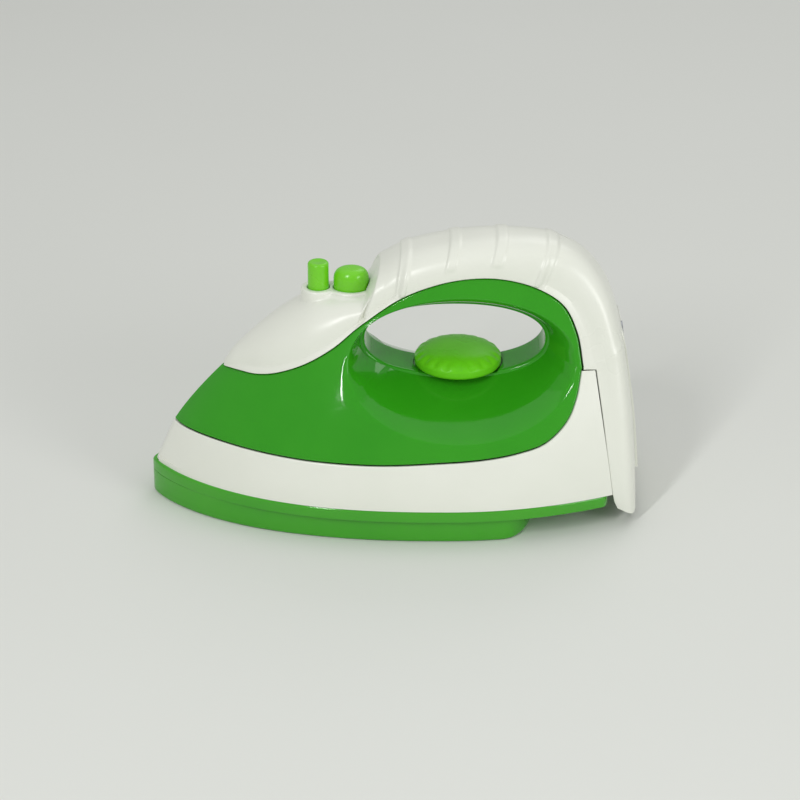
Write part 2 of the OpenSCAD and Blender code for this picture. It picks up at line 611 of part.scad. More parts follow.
module sole() {
    color(sole_green, 0.7) difference() {
        union() {
            loft([slab_loop(0, sole_bevel), slab_loop(sole_bevel, 0), slab_loop(slab_height, 0),
                band_loop(slab_height, 0), band_loop(sole_height, 0), band_loop(sole_height, wall),
                band_loop(slab_height + wall, wall), slab_loop(slab_height + wall, wall),
                slab_loop(wall, wall)]);
            for (share = sole_screw_shares) sole_place(share)
                translate([0, 0, wall / 2]) cylinder(d = screw_head_diameter + 2 * boss_wall,
                    h = sole_height - wall / 2 - sole_post_gap);
        }
        for (share = sole_screw_shares) sole_place(share) {
            translate([0, 0, -overrun])
                cylinder(d = screw_head_diameter + 2 * screw_gap, h = sole_seat + overrun);
            cylinder(d = screw_diameter + 2 * screw_gap, h = sole_height + overrun);
        }
        grille(-overrun, wall + 2 * overrun);
        dimples();
    }
}
module sole_place(share) {
    translate([px(share[0]), share[1] * body_width / 2, 0]) children();
}
module grille(z, height) {
    translate([speaker_x, 0, z]) {
        cylinder(d = grille_hole, h = height);
        for (k = [0 : grille_count - 1]) rotate(360 * k / grille_count)
            translate([grille_ring, 0, 0]) cylinder(d = grille_hole, h = height);
    }
}
// Row of steam dimples inside the slab's outline
dimple_margin = 13;
dimple_front_share = 0.1;
dimple_rear_share = 0.66;
module dimples() {
    for (k = [0 : dimple_count - 1], side = [-1, 1]) {
        share = dimple_front_share + (dimple_rear_share - dimple_front_share) * (k + 1 / 2) / dimple_count;
        x = px(share);
        translate([x, side * (half_width(x, sole_height) - dimple_margin), -overrun])
            cylinder(d = dimple_diameter, h = dimple_depth + overrun);
    }
}

module lower_body() {
    color(white) difference() {
        union() {
            thick_patch(skirt_grid, skirt_inner);
            translate([0, 0, sole_height]) linear_extrude(wall) {
                polygon([for (p = band_loop(0, wall / 2))
                    [p[0] - (p[0] > band_end - wall ? wall : 0), p[1]]]);
                translate([band_end - 2 * wall, -floor_tail_half])
                    square([floor_tail + 2 * wall, 2 * floor_tail_half]);
            }
            for (share = sole_screw_shares) sole_place(share)
                translate([0, 0, floor_top - wall / 2])
                    cylinder(d = screw_diameter + 2 * boss_wall, h = wall / 2 + sole_boss_height);
            translate([speaker_x, 0, floor_top - wall / 2]) difference() {
                cylinder(d = speaker_diameter + 2 * speaker_gap + 2 * holder_wall,
                    h = wall / 2 + holder_height);
                cylinder(d = speaker_diameter + 2 * speaker_gap, h = holder_height + wall + overrun);
            }
            translate([lamp_x, 0, floor_top - wall / 2])
                cylinder(d = lamp_post_diameter, h = lamp_seat - floor_top + wall / 2);
        }
        for (share = sole_screw_shares) sole_place(share)
            cylinder(d = screw_diameter + screw_gap, h = floor_top + sole_boss_height - wall);
        grille(sole_height - overrun, wall + 2 * overrun);
    }
}

// One half of the upper shell, without its screw holes
module handle_half() {
    last = arch_rows[len(arch_rows) - 1];
    foot = [for (level = section_levels) arch_point(last, level)];
    front = [foot[0][0], 0, foot[0][2]];
    function foot_loop(rise) = [for (p = concat(foot, [front]))
        [p[0] - (p[0] - front[0]) / (foot[len(foot) - 1][0] - front[0]) * wall / 2,
            p[1] * (1 - wall / 2 / abs(foot[0][1])), p[2] + rise]];
    union() {
        thick_patch(shifted(arch_grid, arch_lifts), inner_grid);
        loft([foot_loop(wall / 4), foot_loop(wall * 5 / 4)]);
        for (share = case_screw_shares) case_place(share) rotate([90, 0, 0]) translate([0, 0, half_gap])
            cylinder(d = screw_head_diameter + 2 * screw_gap + 2 * boss_wall,
                h = case_reach(share) - half_gap);
    }
}
function case_reach(share) = share[2] * body_width / 2;
module case_place(share) {
    translate([px(share[0]), 0, pz(share[1])]) children();
}
// What both halves leave free: the button collar and its springs, the oval's rear end and the battery door
module handle_cuts() {
    translate([0, 0, board_top]) linear_extrude(collar_bottom - board_top)
        guide_outline(flange_width + seam_gap);
    translate([0, 0, collar_top - collar_depth - overrun]) linear_extrude(collar_depth + 2 * overrun)
        collar_outline(seam_gap);
    translate([0, 0, collar_bottom]) linear_extrude(guide_depth + oval_height + seam_gap)
        oval_outline(button_gap + seam_gap);
    translate([back_x(door_high) - door_cut_depth, -door_width / 2 - seam_gap, door_low - seam_gap])
        cube([body_width, door_width + 2 * seam_gap, door_high - door_low + 3 * seam_gap]);
}
function door_heights() = [for (k = [0 : door_steps]) door_low + (door_high - door_low) * k / door_steps];

module handle_left() {
    color(white) difference() {
        handle_half();
        handle_cuts();
        for (share = case_screw_shares) case_place(share) rotate([90, 0, 0]) translate([0, 0, -overrun])
            cylinder(d = screw_diameter + screw_gap, h = case_screw_bite + 2 * overrun);
    }
}
module handle_right() {
    color(white) difference() {
        mirror([0, 1, 0]) handle_half();
        handle_cuts();
        for (share = case_screw_shares) case_place(share) rotate([-90, 0, 0]) {
            translate([0, 0, -overrun]) cylinder(d = screw_diameter + 2 * screw_gap, h = body_width / 2);
            translate([0, 0, case_seat(share)])
                cylinder(d = screw_head_diameter + 2 * screw_gap, h = body_width / 2);
        }
    }
}
function case_seat(share) = case_reach(share) * case_seat_share;

module tank_half_shell() {
    difference() {
        thick_patch(tank_grid, tank_inner, true);
        translate([dial_x, 0, seat_z]) rotate(90)
            cylinder(d = dial_diameter + 2 * seat_margin, h = dial_edge_height);
        translate([dial_x, 0, seat_z - 3 * wall]) rotate(90)
            cylinder(d = spindle_diameter + 2 * spindle_gap, h = 4 * wall);
    }
}
module tank_left() {
    color(tank_green, 0.6) tank_half_shell();
}
module tank_right() {
    color(tank_green, 0.6) mirror([0, 1, 0]) tank_half_shell();
}

// Outline of the oval button and of the collar round both buttons
module oval_outline(extra) {
    polygon([for (k = [0 : $fn - 1]) let (turn = 360 * (k + 1 / 2) / $fn)
        [oval_x + (oval_length / 2 + extra) * cos(turn), (oval_width / 2 + extra) * sin(turn)]]);
}
module collar_outline(extra) {
    margin = button_gap + collar_width + extra;
    guide_outline(margin);
}
module guide_outline(extra) {
    oval_outline(extra);
    translate([peg_x, 0]) rotate(90) circle(d = peg_diameter + 2 * extra);
}
module button_bezel() {
    bottom = collar_top - collar_depth;
    color(white) difference() {
        union() {
            translate([0, 0, bottom]) linear_extrude(collar_depth) collar_outline(0);
            for (side = [-1, 1]) translate([post_x, side * post_y, board_top])
                cylinder(d = post_diameter, h = bottom + overrun - board_top);
        }
        translate([0, 0, bottom - overrun]) linear_extrude(collar_bottom - bottom + overrun)
            guide_outline(flange_width + seam_gap);
        translate([0, 0, bottom]) linear_extrude(collar_depth + overrun) guide_outline(button_gap);
        rotate([90, 0, 0]) linear_extrude(body_width, center = true) offset(delta = wall + seam_gap)
            polygon([for (k = [0 : $fn - 1]) rim_point(360 * k / $fn)]);
    }
}

peg_round = 1.2;
round_steps = 5;
module peg_button() {
    radius = peg_diameter / 2;
    top = collar_top + peg_height;
    color(lime) translate([peg_x, 0, 0]) rotate_extrude() polygon(concat(
        [[0, flange_bottom], [radius + flange_width, flange_bottom],
            [radius + flange_width, flange_bottom + flange_thickness],
            [radius, flange_bottom + flange_thickness]],
        [for (k = [0 : round_steps]) let (turn = 90 * k / round_steps)
            [radius - peg_round * (1 - cos(turn)), top - peg_round * (1 - sin(turn))]],
        [[0, top]]));
}

oval_dome_share = 0.55;
oval_sides = 32;
dome_turns = [0, 20, 40, 58, 72, 82];
module oval_button() {
    dome = oval_height * oval_dome_share;
    edge = collar_top + oval_height - dome;
    function loop(z, scale) = [for (k = [0 : oval_sides - 1]) let (turn = 360 * k / oval_sides)
        [oval_x + oval_length / 2 * scale * cos(turn), oval_width / 2 * scale * sin(turn), z]];
    color(lime) union() {
        loft(concat([loop(flange_bottom, 1)],
            [for (turn = dome_turns) loop(edge + dome * sin(turn), sqrt(cos(turn)))]));
        translate([0, 0, flange_bottom]) linear_extrude(flange_thickness) oval_outline(flange_width);
        translate([oval_press_x, 0, switch_top + oval_travel + press_margin])
            cylinder(d = switch_nub_diameter,
                h = flange_bottom + overrun - switch_top - oval_travel - press_margin);
    }
}

module button_spring(x) {
    color(steel) translate([x, 0, board_top + spring_gap])
        coil(button_spring_radius, flange_bottom - board_top - 2 * spring_gap, spring_wire, spring_turns);
}
module peg_spring() {
    button_spring(peg_x);
}
module oval_spring() {
    button_spring(oval_press_x);
}

dial_edge_round_share = 0.35;
dome_power = 0.8;
flute_turn = 36;
flute_slope = 35;
module dial() {
    radius = dial_diameter / 2;
    bevel = dial_edge_height * dial_edge_round_share;
    crown = dial_bottom + dial_edge_height;
    function dome_point(turn) = [radius * pow(cos(turn), dome_power),
        crown - bevel + (dial_dome_height + bevel) * sin(turn)];
    color(dial_green) translate([dial_x, 0, 0]) difference() {
        rotate_extrude() polygon(concat(
            [[0, clip_z - spindle_tip], [spindle_diameter / 2, clip_z - spindle_tip],
                [spindle_diameter / 2, seat_z + spindle_gap], [hub_diameter / 2, seat_z + spindle_gap],
                [hub_diameter / 2, dial_bottom], [radius - bevel, dial_bottom],
                [radius, dial_bottom + bevel]],
            [for (k = [0 : 2 * round_steps - 1]) let (turn = 90 * k / (2 * round_steps)) dome_point(turn)],
            [[0, crown + dial_dome_height]]));
        for (k = [0 : flute_count - 1]) let (at = dome_point(flute_turn)) rotate(360 * k / flute_count)
            translate([at[0], 0, at[1]]) rotate([0, 90 + flute_slope, 0])
                translate([flute_depth - flute_diameter / 2, 0, 0])
                    cylinder(d = flute_diameter, h = radius / 2, center = true);
    }
}
module dial_clip() {
    color(steel) translate([dial_x, 0, clip_z]) difference() {
        cylinder(d = clip_diameter, h = clip_thickness);
        translate([0, 0, -overrun])
            cylinder(d = spindle_diameter + 2 * spindle_gap, h = clip_thickness + 2 * overrun);
    }
}

module circuit_board() {
    color("#2f7d46") translate([board_front, -board_width / 2, board_top - board_thickness])
        cube([board_rear - board_front, board_width, board_thickness]);
}
module tact_switches() {
    color("#26282b") for (x = [peg_x, oval_press_x]) translate([x, 0, board_top]) {
        translate([-switch_size / 2, -switch_size / 2, 0]) cube([switch_size, switch_size, switch_height]);
        cylinder(d = switch_nub_diameter, h = switch_height + switch_nub_height);
    }
}

// Frame of the battery bay: X points out of the heel, Z up along the cells
module bay() {
    translate([bay_x, 0, bay_z]) rotate([0, -box_lean, 0]) children();
}
module battery_box() {
    pocket = box_height - 2 * box_wall;
    color("#d9dbd4") bay() difference() {
        union() {
            translate([-box_depth, -box_half, 0]) cube([box_depth, 2 * box_half, box_height]);
            translate([-door_screw_length, -door_boss / 2, box_height - box_wall])
                cube([door_screw_length, door_boss, door_boss + box_wall]);
        }
        for (side = [-1, 1])
            translate([-box_depth + box_wall, side * cell_y - cell_diameter / 2 - cell_gap, box_wall])
                cube([box_depth, cell_diameter + 2 * cell_gap, pocket]);
        translate([overrun, 0, door_screw_z]) rotate([0, -90, 0])
            cylinder(d = screw_diameter + screw_gap, h = door_screw_length);
    }
}
cell_nub_height = 0.8;
cell_nub_diameter = 3.8;
cell_up_z = box_height - box_wall - plate_thickness - contact_gap - cell_length;
cell_down_z = box_wall + plate_thickness + contact_gap;
module cell() {
    cylinder(d = cell_diameter, h = cell_length - cell_nub_height);
    cylinder(d = cell_nub_diameter, h = cell_length);
}
module battery_cells() {
    color("#3a3d42") bay() {
        translate([cell_x, -cell_y, cell_up_z]) cell();
        translate([cell_x, cell_y, cell_down_z + cell_length]) mirror([0, 0, 1]) cell();
    }
}
module battery_springs() {
    room = cell_up_z - box_wall;
    radius = cell_diameter / 3;
    color(steel) bay() {
        translate([cell_x, -cell_y, box_wall + spring_gap / 2])
            coil(radius, room - spring_gap, spring_wire, cell_spring_turns);
        translate([cell_x, cell_y, box_height - box_wall - room + spring_gap / 2])
            coil(radius, room - spring_gap, spring_wire, cell_spring_turns);
    }
}
module battery_plates() {
    color(steel) bay() {
        translate([cell_x - plate_depth / 2, -cell_y - plate_width / 2,
            box_height - box_wall - plate_thickness])
            cube([plate_depth, plate_width, plate_thickness]);
        translate([cell_x - plate_depth / 2, cell_y - plate_width / 2, box_wall])
            cube([plate_depth, plate_width, plate_thickness]);
    }
}

function door_face(z) = back_x(z) + door_proud * (door_high - z) / (door_high - door_low) + door_flush;
module battery_door() {
    heights = door_heights();
    color(white) difference() {
        union() {
            rotate([90, 0, 0]) linear_extrude(door_width, center = true) polygon(concat(
                [for (z = heights) [door_face(z), z]],
                [for (k = [0 : door_steps]) let (z = heights[door_steps - k])
                    [door_face(z) - door_thickness, z]]));
            difference() {
                bay() for (side = [-1, 1])
                    translate([door_seat_gap, side * (box_half - door_rib) - door_rib / 2, box_wall])
                        cube([door_reach, door_rib, box_height - 2 * box_wall]);
                door_outside();
            }
            difference() {
                bay() translate([door_seat_gap, 0, door_screw_z]) rotate([0, 90, 0])
                    cylinder(d = door_boss, h = door_reach);
                door_outside();
            }
        }
        bay() translate([-overrun, 0, door_screw_z]) rotate([0, 90, 0])
            cylinder(d = screw_diameter + 2 * screw_gap, h = door_reach + 2 * overrun);
        bay() translate([door_screw_seat, 0, door_screw_z]) rotate([0, 90, 0])
            cylinder(d = screw_head_diameter + screw_gap, h = door_reach);
    }
}
// The screw's head lies flush with the door
door_screw_up = bay_z + door_screw_z * cos(box_lean);
door_room = door_face(door_screw_up) - bay_x + (door_screw_up - bay_z) * tan(box_lean);
door_screw_seat = door_room * cos(box_lean) - screw_head_height;
// Everything behind the middle of the door's plate
module door_outside() {
    heights = door_heights();
    rotate([90, 0, 0]) linear_extrude(2 * door_width, center = true) polygon(concat(
        [for (z = heights) [door_face(z) - door_thickness / 2, z]],
        [[door_face(door_high), door_high + body_width], [body_length, door_high + body_width],
            [body_length, door_low]]));
}
module screw(length) {
    translate([0, 0, -length]) cylinder(d = screw_diameter, h = length);
    difference() {
        cylinder(d = screw_head_diameter, h = screw_head_height);
        for (turn = [0, 90]) rotate(turn)
            translate([-slot_length / 2, -slot_width / 2, screw_head_height - slot_depth])
                cube([slot_length, slot_width, slot_depth + overrun]);
    }
}
slot_length = 3.2;
slot_width = 0.7;
slot_depth = 0.9;
module door_screw() {
    color(steel) bay() translate([door_screw_seat, 0, door_screw_z]) rotate([0, 90, 0])
        screw(door_screw_length - door_screw_seat);
}

module speaker() {
    basket = speaker_height * (1 - magnet_share);
    color("#2b2c2e") translate([speaker_x, 0, floor_top + speaker_gap]) {
        difference() {
            cylinder(d = speaker_diameter, h = basket);
            translate([0, 0, -overrun]) cylinder(d1 = speaker_diameter - 2 * holder_wall,
                d2 = speaker_diameter * magnet_share, h = basket / 2 + overrun);
        }
        cylinder(d = speaker_diameter * magnet_share, h = speaker_height);
    }
}
module nose_lamp() {
    color("#f1efe0") translate([lamp_x, 0, lamp_seat]) rotate_extrude() polygon(concat(
        [[0, 0], [lamp_diameter / 2 + lamp_collar, 0],
            [lamp_diameter / 2 + lamp_collar, lamp_collar_height], [lamp_diameter / 2, lamp_collar_height]],
        [for (k = [0 : round_steps]) let (turn = 90 * k / round_steps)
            [lamp_diameter / 2 * cos(turn), lamp_diameter + lamp_diameter / 2 * sin(turn)]]));
}
module lead_red() {
    color("#c8281f") tube(lead_route(1), lead_diameter / 2, lead_sides);
}
module lead_black() {
    color("#1c1c1e") tube(lead_route(-1), lead_diameter / 2, lead_sides);
}
module case_screws() {
    color(steel) for (share = case_screw_shares) case_place(share) rotate([-90, 0, 0])
        translate([0, 0, case_seat(share)]) screw(case_seat(share) + case_screw_bite);
}
module sole_screws() {
    color(steel) for (share = sole_screw_shares) sole_place(share) translate([0, 0, sole_seat])
        mirror([0, 0, 1]) screw(sole_screw_length);
}

sole();
lower_body();
handle_left();
handle_right();
tank_left();
tank_right();
button_bezel();
peg_button();
oval_button();
peg_spring();
oval_spring();
dial();
dial_clip();
circuit_board();
tact_switches();
battery_box();
battery_cells();
battery_springs();
battery_plates();
battery_door();
door_screw();
speaker();
nose_lamp();
lead_red();
lead_black();
case_screws();
sole_screws();
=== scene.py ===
"""Toy steam iron: smooth moulded shells, a clear green tank, sprung buttons, a dial and a battery bay."""

import math

import bmesh
import bpy
import numpy as np
from bpy.props import FloatProperty, FloatVectorProperty, IntProperty, PointerProperty
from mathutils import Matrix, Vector
from mathutils.bvhtree import BVHTree


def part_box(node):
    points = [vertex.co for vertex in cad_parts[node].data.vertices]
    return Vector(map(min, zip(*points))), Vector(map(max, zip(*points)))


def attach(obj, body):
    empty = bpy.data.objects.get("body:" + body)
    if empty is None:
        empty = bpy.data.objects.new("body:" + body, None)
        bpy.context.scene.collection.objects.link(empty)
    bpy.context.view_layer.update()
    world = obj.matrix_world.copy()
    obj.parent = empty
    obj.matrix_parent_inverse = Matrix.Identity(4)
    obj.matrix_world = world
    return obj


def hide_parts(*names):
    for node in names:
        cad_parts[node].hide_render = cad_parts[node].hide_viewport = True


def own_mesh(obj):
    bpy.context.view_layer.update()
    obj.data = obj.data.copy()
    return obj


bl_info = {
    "name": "Toy steam iron",
    "version": (1, 0, 0),
    "blender": (4, 5, 0),
    "location": "3D View > Sidebar > Toy iron",
    "description": "Dresses the packed solids of a toy steam iron with smooth moulded shells",
    "category": "Object",
}

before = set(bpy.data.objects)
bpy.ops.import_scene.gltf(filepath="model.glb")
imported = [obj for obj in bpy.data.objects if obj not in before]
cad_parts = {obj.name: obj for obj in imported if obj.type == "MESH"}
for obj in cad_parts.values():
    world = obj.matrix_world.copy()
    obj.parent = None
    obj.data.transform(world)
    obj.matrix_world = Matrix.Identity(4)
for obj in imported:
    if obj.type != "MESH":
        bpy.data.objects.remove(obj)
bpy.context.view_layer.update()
MM = 0.001


def mm(*lengths):
    """Millimetres as metres."""
    return [length * MM for length in lengths]


# Overall form: the half width follows an egg shaped plan that tapers upwards
WIDEST_SHARE = 0.61
NOSE_SHARPNESS = 2.5
NOSE_FULLNESS = 0.75
TAIL_SHARE = 0.5975
SIDE_TAPER_SHARE = 0.7
TAPER_SHARES = (0.10, 1.02)
# Nose line in side view: height and distance from the nose
NOSE_LINE_SHARES = ((0.131, 0.008), (0.283, 0.047), (0.499, 0.1495), (0.759, 0.3135))
# Seams of the upper shell: inner edge x and z, ridge x and z, squareness of the section, turn round the rim
BRIDGE_SHARES = (
    (0.1525, 0.499, 0.1535, 0.512, 2, 226),
    (0.1675, 0.5025, 0.171, 0.557, 2, 222),
    (0.1875, 0.507, 0.195, 0.6, 2, 217),
    (0.2235, 0.5145, 0.2325, 0.657, 2, 208),
    (0.266, 0.535, 0.275, 0.712, 2.1, 197),
    (0.3225, 0.578, 0.33, 0.764, 2.3, 184),
    (0.378, 0.638, 0.3825, 0.783, 2.7, 170),
    (0.42, 0.7, 0.442, 0.793, 3.2, 154),
)
HANDLE_SHARES = (
    (0.4345, 0.7195, 0.467, 0.893, 2.6, 149),
    (0.5085, 0.8085, 0.5225, 0.945, 2.6, 125),
    (0.577, 0.857, 0.5975, 0.979, 2.6, 105),
    (0.645, 0.880, 0.665, 0.9965, 2.6, 88),
    (0.7135, 0.8785, 0.7375, 1, 2.6, 72),
    (0.782, 0.8465, 0.8125, 0.985, 2.7, 53),
    (0.8375, 0.785, 0.88, 0.927, 3, 32),
    (0.8655, 0.692, 0.93, 0.81, 3.6, 12),
    (0.8765, 0.5905, 0.96, 0.655, 4.2, -5),
    (0.8775, 0.573, 0.9625, 0.638, 4.4, -8),
)
HEEL_SHARES = (
    (0.904, 0.57, 0.9645, 0.623, 4.4, 0),
    (0.919, 0.4025, 0.982, 0.405, 4.5, 0),
    (0.9305, 0.262, 0.99, 0.25, 4.5, 0),
    (0.943, 0.1205, 0.9945, 0.1035, 4.5, 0),
    (0.952, 0.0735, 0.996, 0.0345, 4.5, 0),
)
# Top edge of the skirt x and z, share of its lower edge from the nose to the heel, turn round the rim
SKIRT_SHARES = (
    (0.047, 0.283, 0, -130),
    (0.0705, 0.2835, 0.0241, -129),
    (0.115, 0.286, 0.0739, -128),
    (0.1595, 0.287, 0.1275, -126.5),
    (0.2665, 0.2845, 0.2507, -122.5),
    (0.35, 0.283, 0.3471, -117.5),
    (0.474, 0.2855, 0.489, -107),
    (0.577, 0.295, 0.6101, -93),
    (0.68, 0.306, 0.7327, -77),
    (0.749, 0.3215, 0.8211, -64),
    (0.804, 0.3475, 0.9122, -52),
    (0.8455, 0.408, 1, -38),
)
# The skirt's rear corner, where its lower edge climbs the heel seam: edge x and z, seam x and z, turn
CORNER_SHARES = (
    (0.8455, 0.408, 0.942, 0.1293, -38),
    (0.866, 0.482, 0.9285, 0.289, -24),
    (0.876, 0.5715, 0.9025, 0.569, -10),
)
# The seam between skirt and tank as one curve: x, z and turn round the rim
SEAM_SHARES = (*((x, z, turn) for x, z, _, turn in SKIRT_SHARES),
               *((x, z, turn) for x, z, _, _, turn in CORNER_SHARES[1:]))
SEAM_TURN, SEAM_END = len(SKIRT_SHARES) - 1, len(SEAM_SHARES) - 1
# Places as shares of the length and the height
OPENING_SHARES = (0.6225, 0.628)
DISH_SHARES = (0.638, 0.586)
DIAL_X_SHARE = 0.63
PEG_X_SHARE = 0.3475
OVAL_X_SHARE = 0.4138
COLLAR_Z_SHARE = 0.796
SPEAKER_X_SHARE = 0.475
LAMP_SHARES = (0.21, 0.26)
BAND_END_SHARE = 0.942
CASE_SCREW_SHARES = ((0.265, 0.62, 0.204), (0.6, 0.92, 0.245), (0.84, 0.897, 0.24))
SOLE_SCREW_SHARES = ((0.165, 0), (0.69, 0.58), (0.69, -0.58))
# Grip ribs, in steps of the handle's table
FIRST_RIB, RIB_PITCH, RIB_COUNT, RIB_HALF_SPAN, RIB_SLOPE = 1.02, 1.353, 4, 0.19, 0.4
# Upper shell: rows round its front corner, the lip's least share, the room that a full lip needs and its bend
FRONT_ROWS, FRONT_STEP, BEHIND_STEP, BEHIND_SHARE = 9, 0.16, 0.14, 0.006
LEAST_LIP, LIP_ROOM, LIP_BEND = 0.4, 5, 1.3
EDGE_ROUND, FRONT_ROUND = mm(0.5, 1.6)
REAR_FLARE, HEEL_FLARE, HEEL_FADE, HEEL_SEAM = 1.2, 0.13, 2.6, 0.1 * MM
# Share of the seam that stays open at the bridge's tip, and the rows over which it opens
TIP_SEAM, TIP_ROWS = 0.15, 12
# Cuts in it: foot of those under the collar and the oval, share of the collar's width; recess behind the door
COLLAR_CUT_SHARES, COLLAR_CUT, DOOR_RECESS = (0.6, 0.74), 0.4, 5 * MM
# Steps of its bridge, handle, heel, crown and back, and the places of its points up the lip
BRIDGE_STEPS, HANDLE_STEPS, HEEL_STEPS, CROWN_STEPS, BACK_STEPS = 70, 239, 48, 30, 60
LIP_PARTS = (0, 0.03, 0.08, 0.15, 0.25, 0.4, 0.6, 0.8, 1.0)
# Columns of points at which the first and last rib, and the middle ribs, start to rise, and over how many
EDGE_RIB_START, EDGE_RIB_RISE = 4, 4
CROWN_RIB_START, CROWN_RIB_RISE = len(LIP_PARTS) + 2, 3
# Tank: squareness of the opening, fullness and end of the dish, rounding of its edge, wall at the nose
RIM_SQUARENESS, DISH_FULLNESS, DISH_END_SHARE = 2.2, 1.45, 0.9
TANK_ROUND, NOSE_WALL = mm(0.5, 2.4)
# Steps round the tank, along bridge, arch, corner, skirt and nose; and from the opening out to its edge
TANK_BRIDGE, TANK_ARCH, TANK_CORNER, TANK_SKIRT, TANK_NOSE = 56, 90, 20, 99, 24
LINING_STEPS, ROUND_STEPS, DISH_STEPS, FLANK_STEPS, EDGE_STEPS = 5, 8, 20, 12, 5
# Steps of the skirt and of its rear corner, and its levels, which lie closer at the rounded top edge
SKIRT_STEPS, CORNER_STEPS = 99, 16
SKIRT_LEVELS = np.concatenate([np.linspace(0, 0.9, 14), 1 - 0.1 * np.linspace(0.8, 0, 6) ** 1.6])
# Sole: steps of its plan, rear corners of the band and the slab, rounding of the ledge and groove of the rim
SOLE_SIDE_STEPS, SOLE_CORNER_STEPS = 70, 20
BAND_CORNER, SLAB_CORNER, LEDGE_ROUND, RIM_GROOVE = mm(4, 15, 0.5, 0.9)
# Skirt's floor: play in the sole, distance from the nose, and how far its tail reaches into the heel
FLOOR_PLAY, FLOOR_TOE, FLOOR_TAIL = mm(0.2, 0.4, 5.5)
# Speaker's seat: radius and height of its ring and of the pocket; the lamp's post
RING_RADIUS, RING_HEIGHT, POCKET_RADIUS, POCKET_HEIGHT = mm(16.3, 4, 14.8, 6)
LAMP_POST, POST_ROUND = mm(4, 0.4)
# Sound holes and dimples: diameter, drilled depth, then ring and number, or row, number and inset
HOLE, HOLE_DEPTH, HOLE_RING, HOLE_COUNT = 2.4 * MM, 8 * MM, 8 * MM, 6
DIMPLE, DIMPLE_DEPTH, DIMPLE_SHARES, DIMPLE_COUNT, DIMPLE_INSET = 4 * MM, 1.6 * MM, (0.1, 0.56), 6, 13 * MM
# Screws: play round them, head and its cross, then the bosses, seats and lengths of each set
SCREW_PLAY, HEAD_HEIGHT, CROSS_LENGTH, CROSS_WIDTH = mm(0.2, 1.8, 3.2, 0.7)
BOSS_WALL, BOSS_GAP, SEAT_SHARE, CASE_GRIP = 1.8 * MM, 0.1 * MM, 0.4, 6 * MM
SOLE_SEAT, SOLE_SCREW, SOLE_POST, SOLE_POST_GAP = mm(9, 14, 4.1, 0.3)
SKIRT_POST_WALL, SKIRT_POST_HEIGHT, SKIRT_BORE, SKIRT_BORE_HEIGHT = mm(1.6, 9, 1.4, 7)
DOOR_LEAN, DOOR_SCREW = math.radians(6.5), 9.97 * MM
# Collar: play round the buttons, rounded top, flare at its foot, waist, sunk edge, depth and holes; then the
# mouth of a hole as its widening and height in chamfers, and the draft, place and search of its outline
BUTTON_PLAY, COLLAR_ROUND, COLLAR_FLARE, COLLAR_WAIST = mm(0.3, 0.9, 2.8, 2.5)
COLLAR_SUNK, COLLAR_DEPTH, HOLE_FOOT, FLANGE_SEAT, CHAMFER = mm(0.6, 8, 9, 6, 0.5)
MOUTH_SHARES = ((0, -1), (0.4, -0.3), (1.2, 0.3))
COLLAR_DRAFT, COLLAR_SHIFT, COLLAR_REACH, OVAL_STRETCH, HALVINGS = 0.5 * MM, 1 * MM, 40 * MM, 1.05, 40
# Its posts on the board, the height that its foot is felt for from, and its least heights over the bridge
POST_RADIUS, POST_OUT, POST_DEPTH = mm(0.9, 1.9, 7)
FEEL_HEIGHT, LEAST_HEIGHT, FREE_HEIGHT = mm(60, 1.2, 2)
# Buttons: the flange that holds them, the peg's rounded top with its dip, the oval's dome and its press pin
FLANGE, FLANGE_HEIGHT = mm(0.7, 1.2)
PEG_ROUND, PEG_DIP, PEG_DIP_SHARE, PEG_DIP_PARTS = 1.2 * MM, 0.25 * MM, 0.7, (0.66, 0.5, 0.3, 0.12, 0)
OVAL_DOME_SHARE, OVAL_POWER, OVAL_STEPS, PIN_RADIUS, PIN_SHIFT = 0.55, 0.5, 32, 1.7 * MM, 1.5 * MM
SPRING_WIRE, SPRING_TURNS = 0.6 * MM, 4.0
# Dial: gaps above the saddle, spindle and hub, rounded lower edge; its well in the tank
DIAL_GAP, HUB_GAP, SPINDLE, HUB, DIAL_EDGE_SHARE = 0.75 * MM, 0.25 * MM, 3 * MM, 6 * MM, 0.35
WELL_GAP, WELL_PLAY, WELL_BORE, WELL_HEIGHT = mm(0.4, 0.6, 3.1, 5)
# The dial's dome and its flutes: fullness and steps of each, and in degrees up the dome where the flutes start,
# rise, end and fall
DOME_POWER, DOME_STEPS, FLUTE_POWER, FLUTE_STEPS = 0.8, 40, 1.5, 12
FLUTE_START, FLUTE_RISE, FLUTE_END, FLUTE_FALL = 4, 14, 48, 20
# Route of the leads, as in the part's source: shares of the run to the battery box, the spread and the rise
LEAD_SHARES = (
    (1, 0.32, 0.114), (0.953, 0.32, 0.105), (0.856, 0.38, 0.043), (0.742, 0.49, 0.007),
    (0.592, 0.59, 0), (0.452, 0.76, 0), (0.311, 0.97, 0), (0.188, 1, 0),
    (0.091, 0.76, 0.004), (0.03, 0.43, 0.043), (0, 0.24, 0.15), (-0.007, 0.18, 0.31),
    (-0.008, 0.17, 0.523), (-0.005, 0.18, 0.737), (-0.002, 0.2, 0.897), (0, 0.216, 1))
LEAD_SPREAD = 18.5 * MM
LEAD_LOW, LEAD_HIGH = mm(18.5, 74.79)
LEAD_FRONT, LEAD_REAR = mm(-31.25, 82.37)
LEAD_RADIUS = 0.75 * MM
# Points nearer than this are welded, or lie in the middle plane; edges that turn by more degrees are crisp, on
# shells and on carved pieces
WELD, IN_PLANE = 0.002 * MM, 1e-9
CRISP, CRISP_CARVED = 32, 40
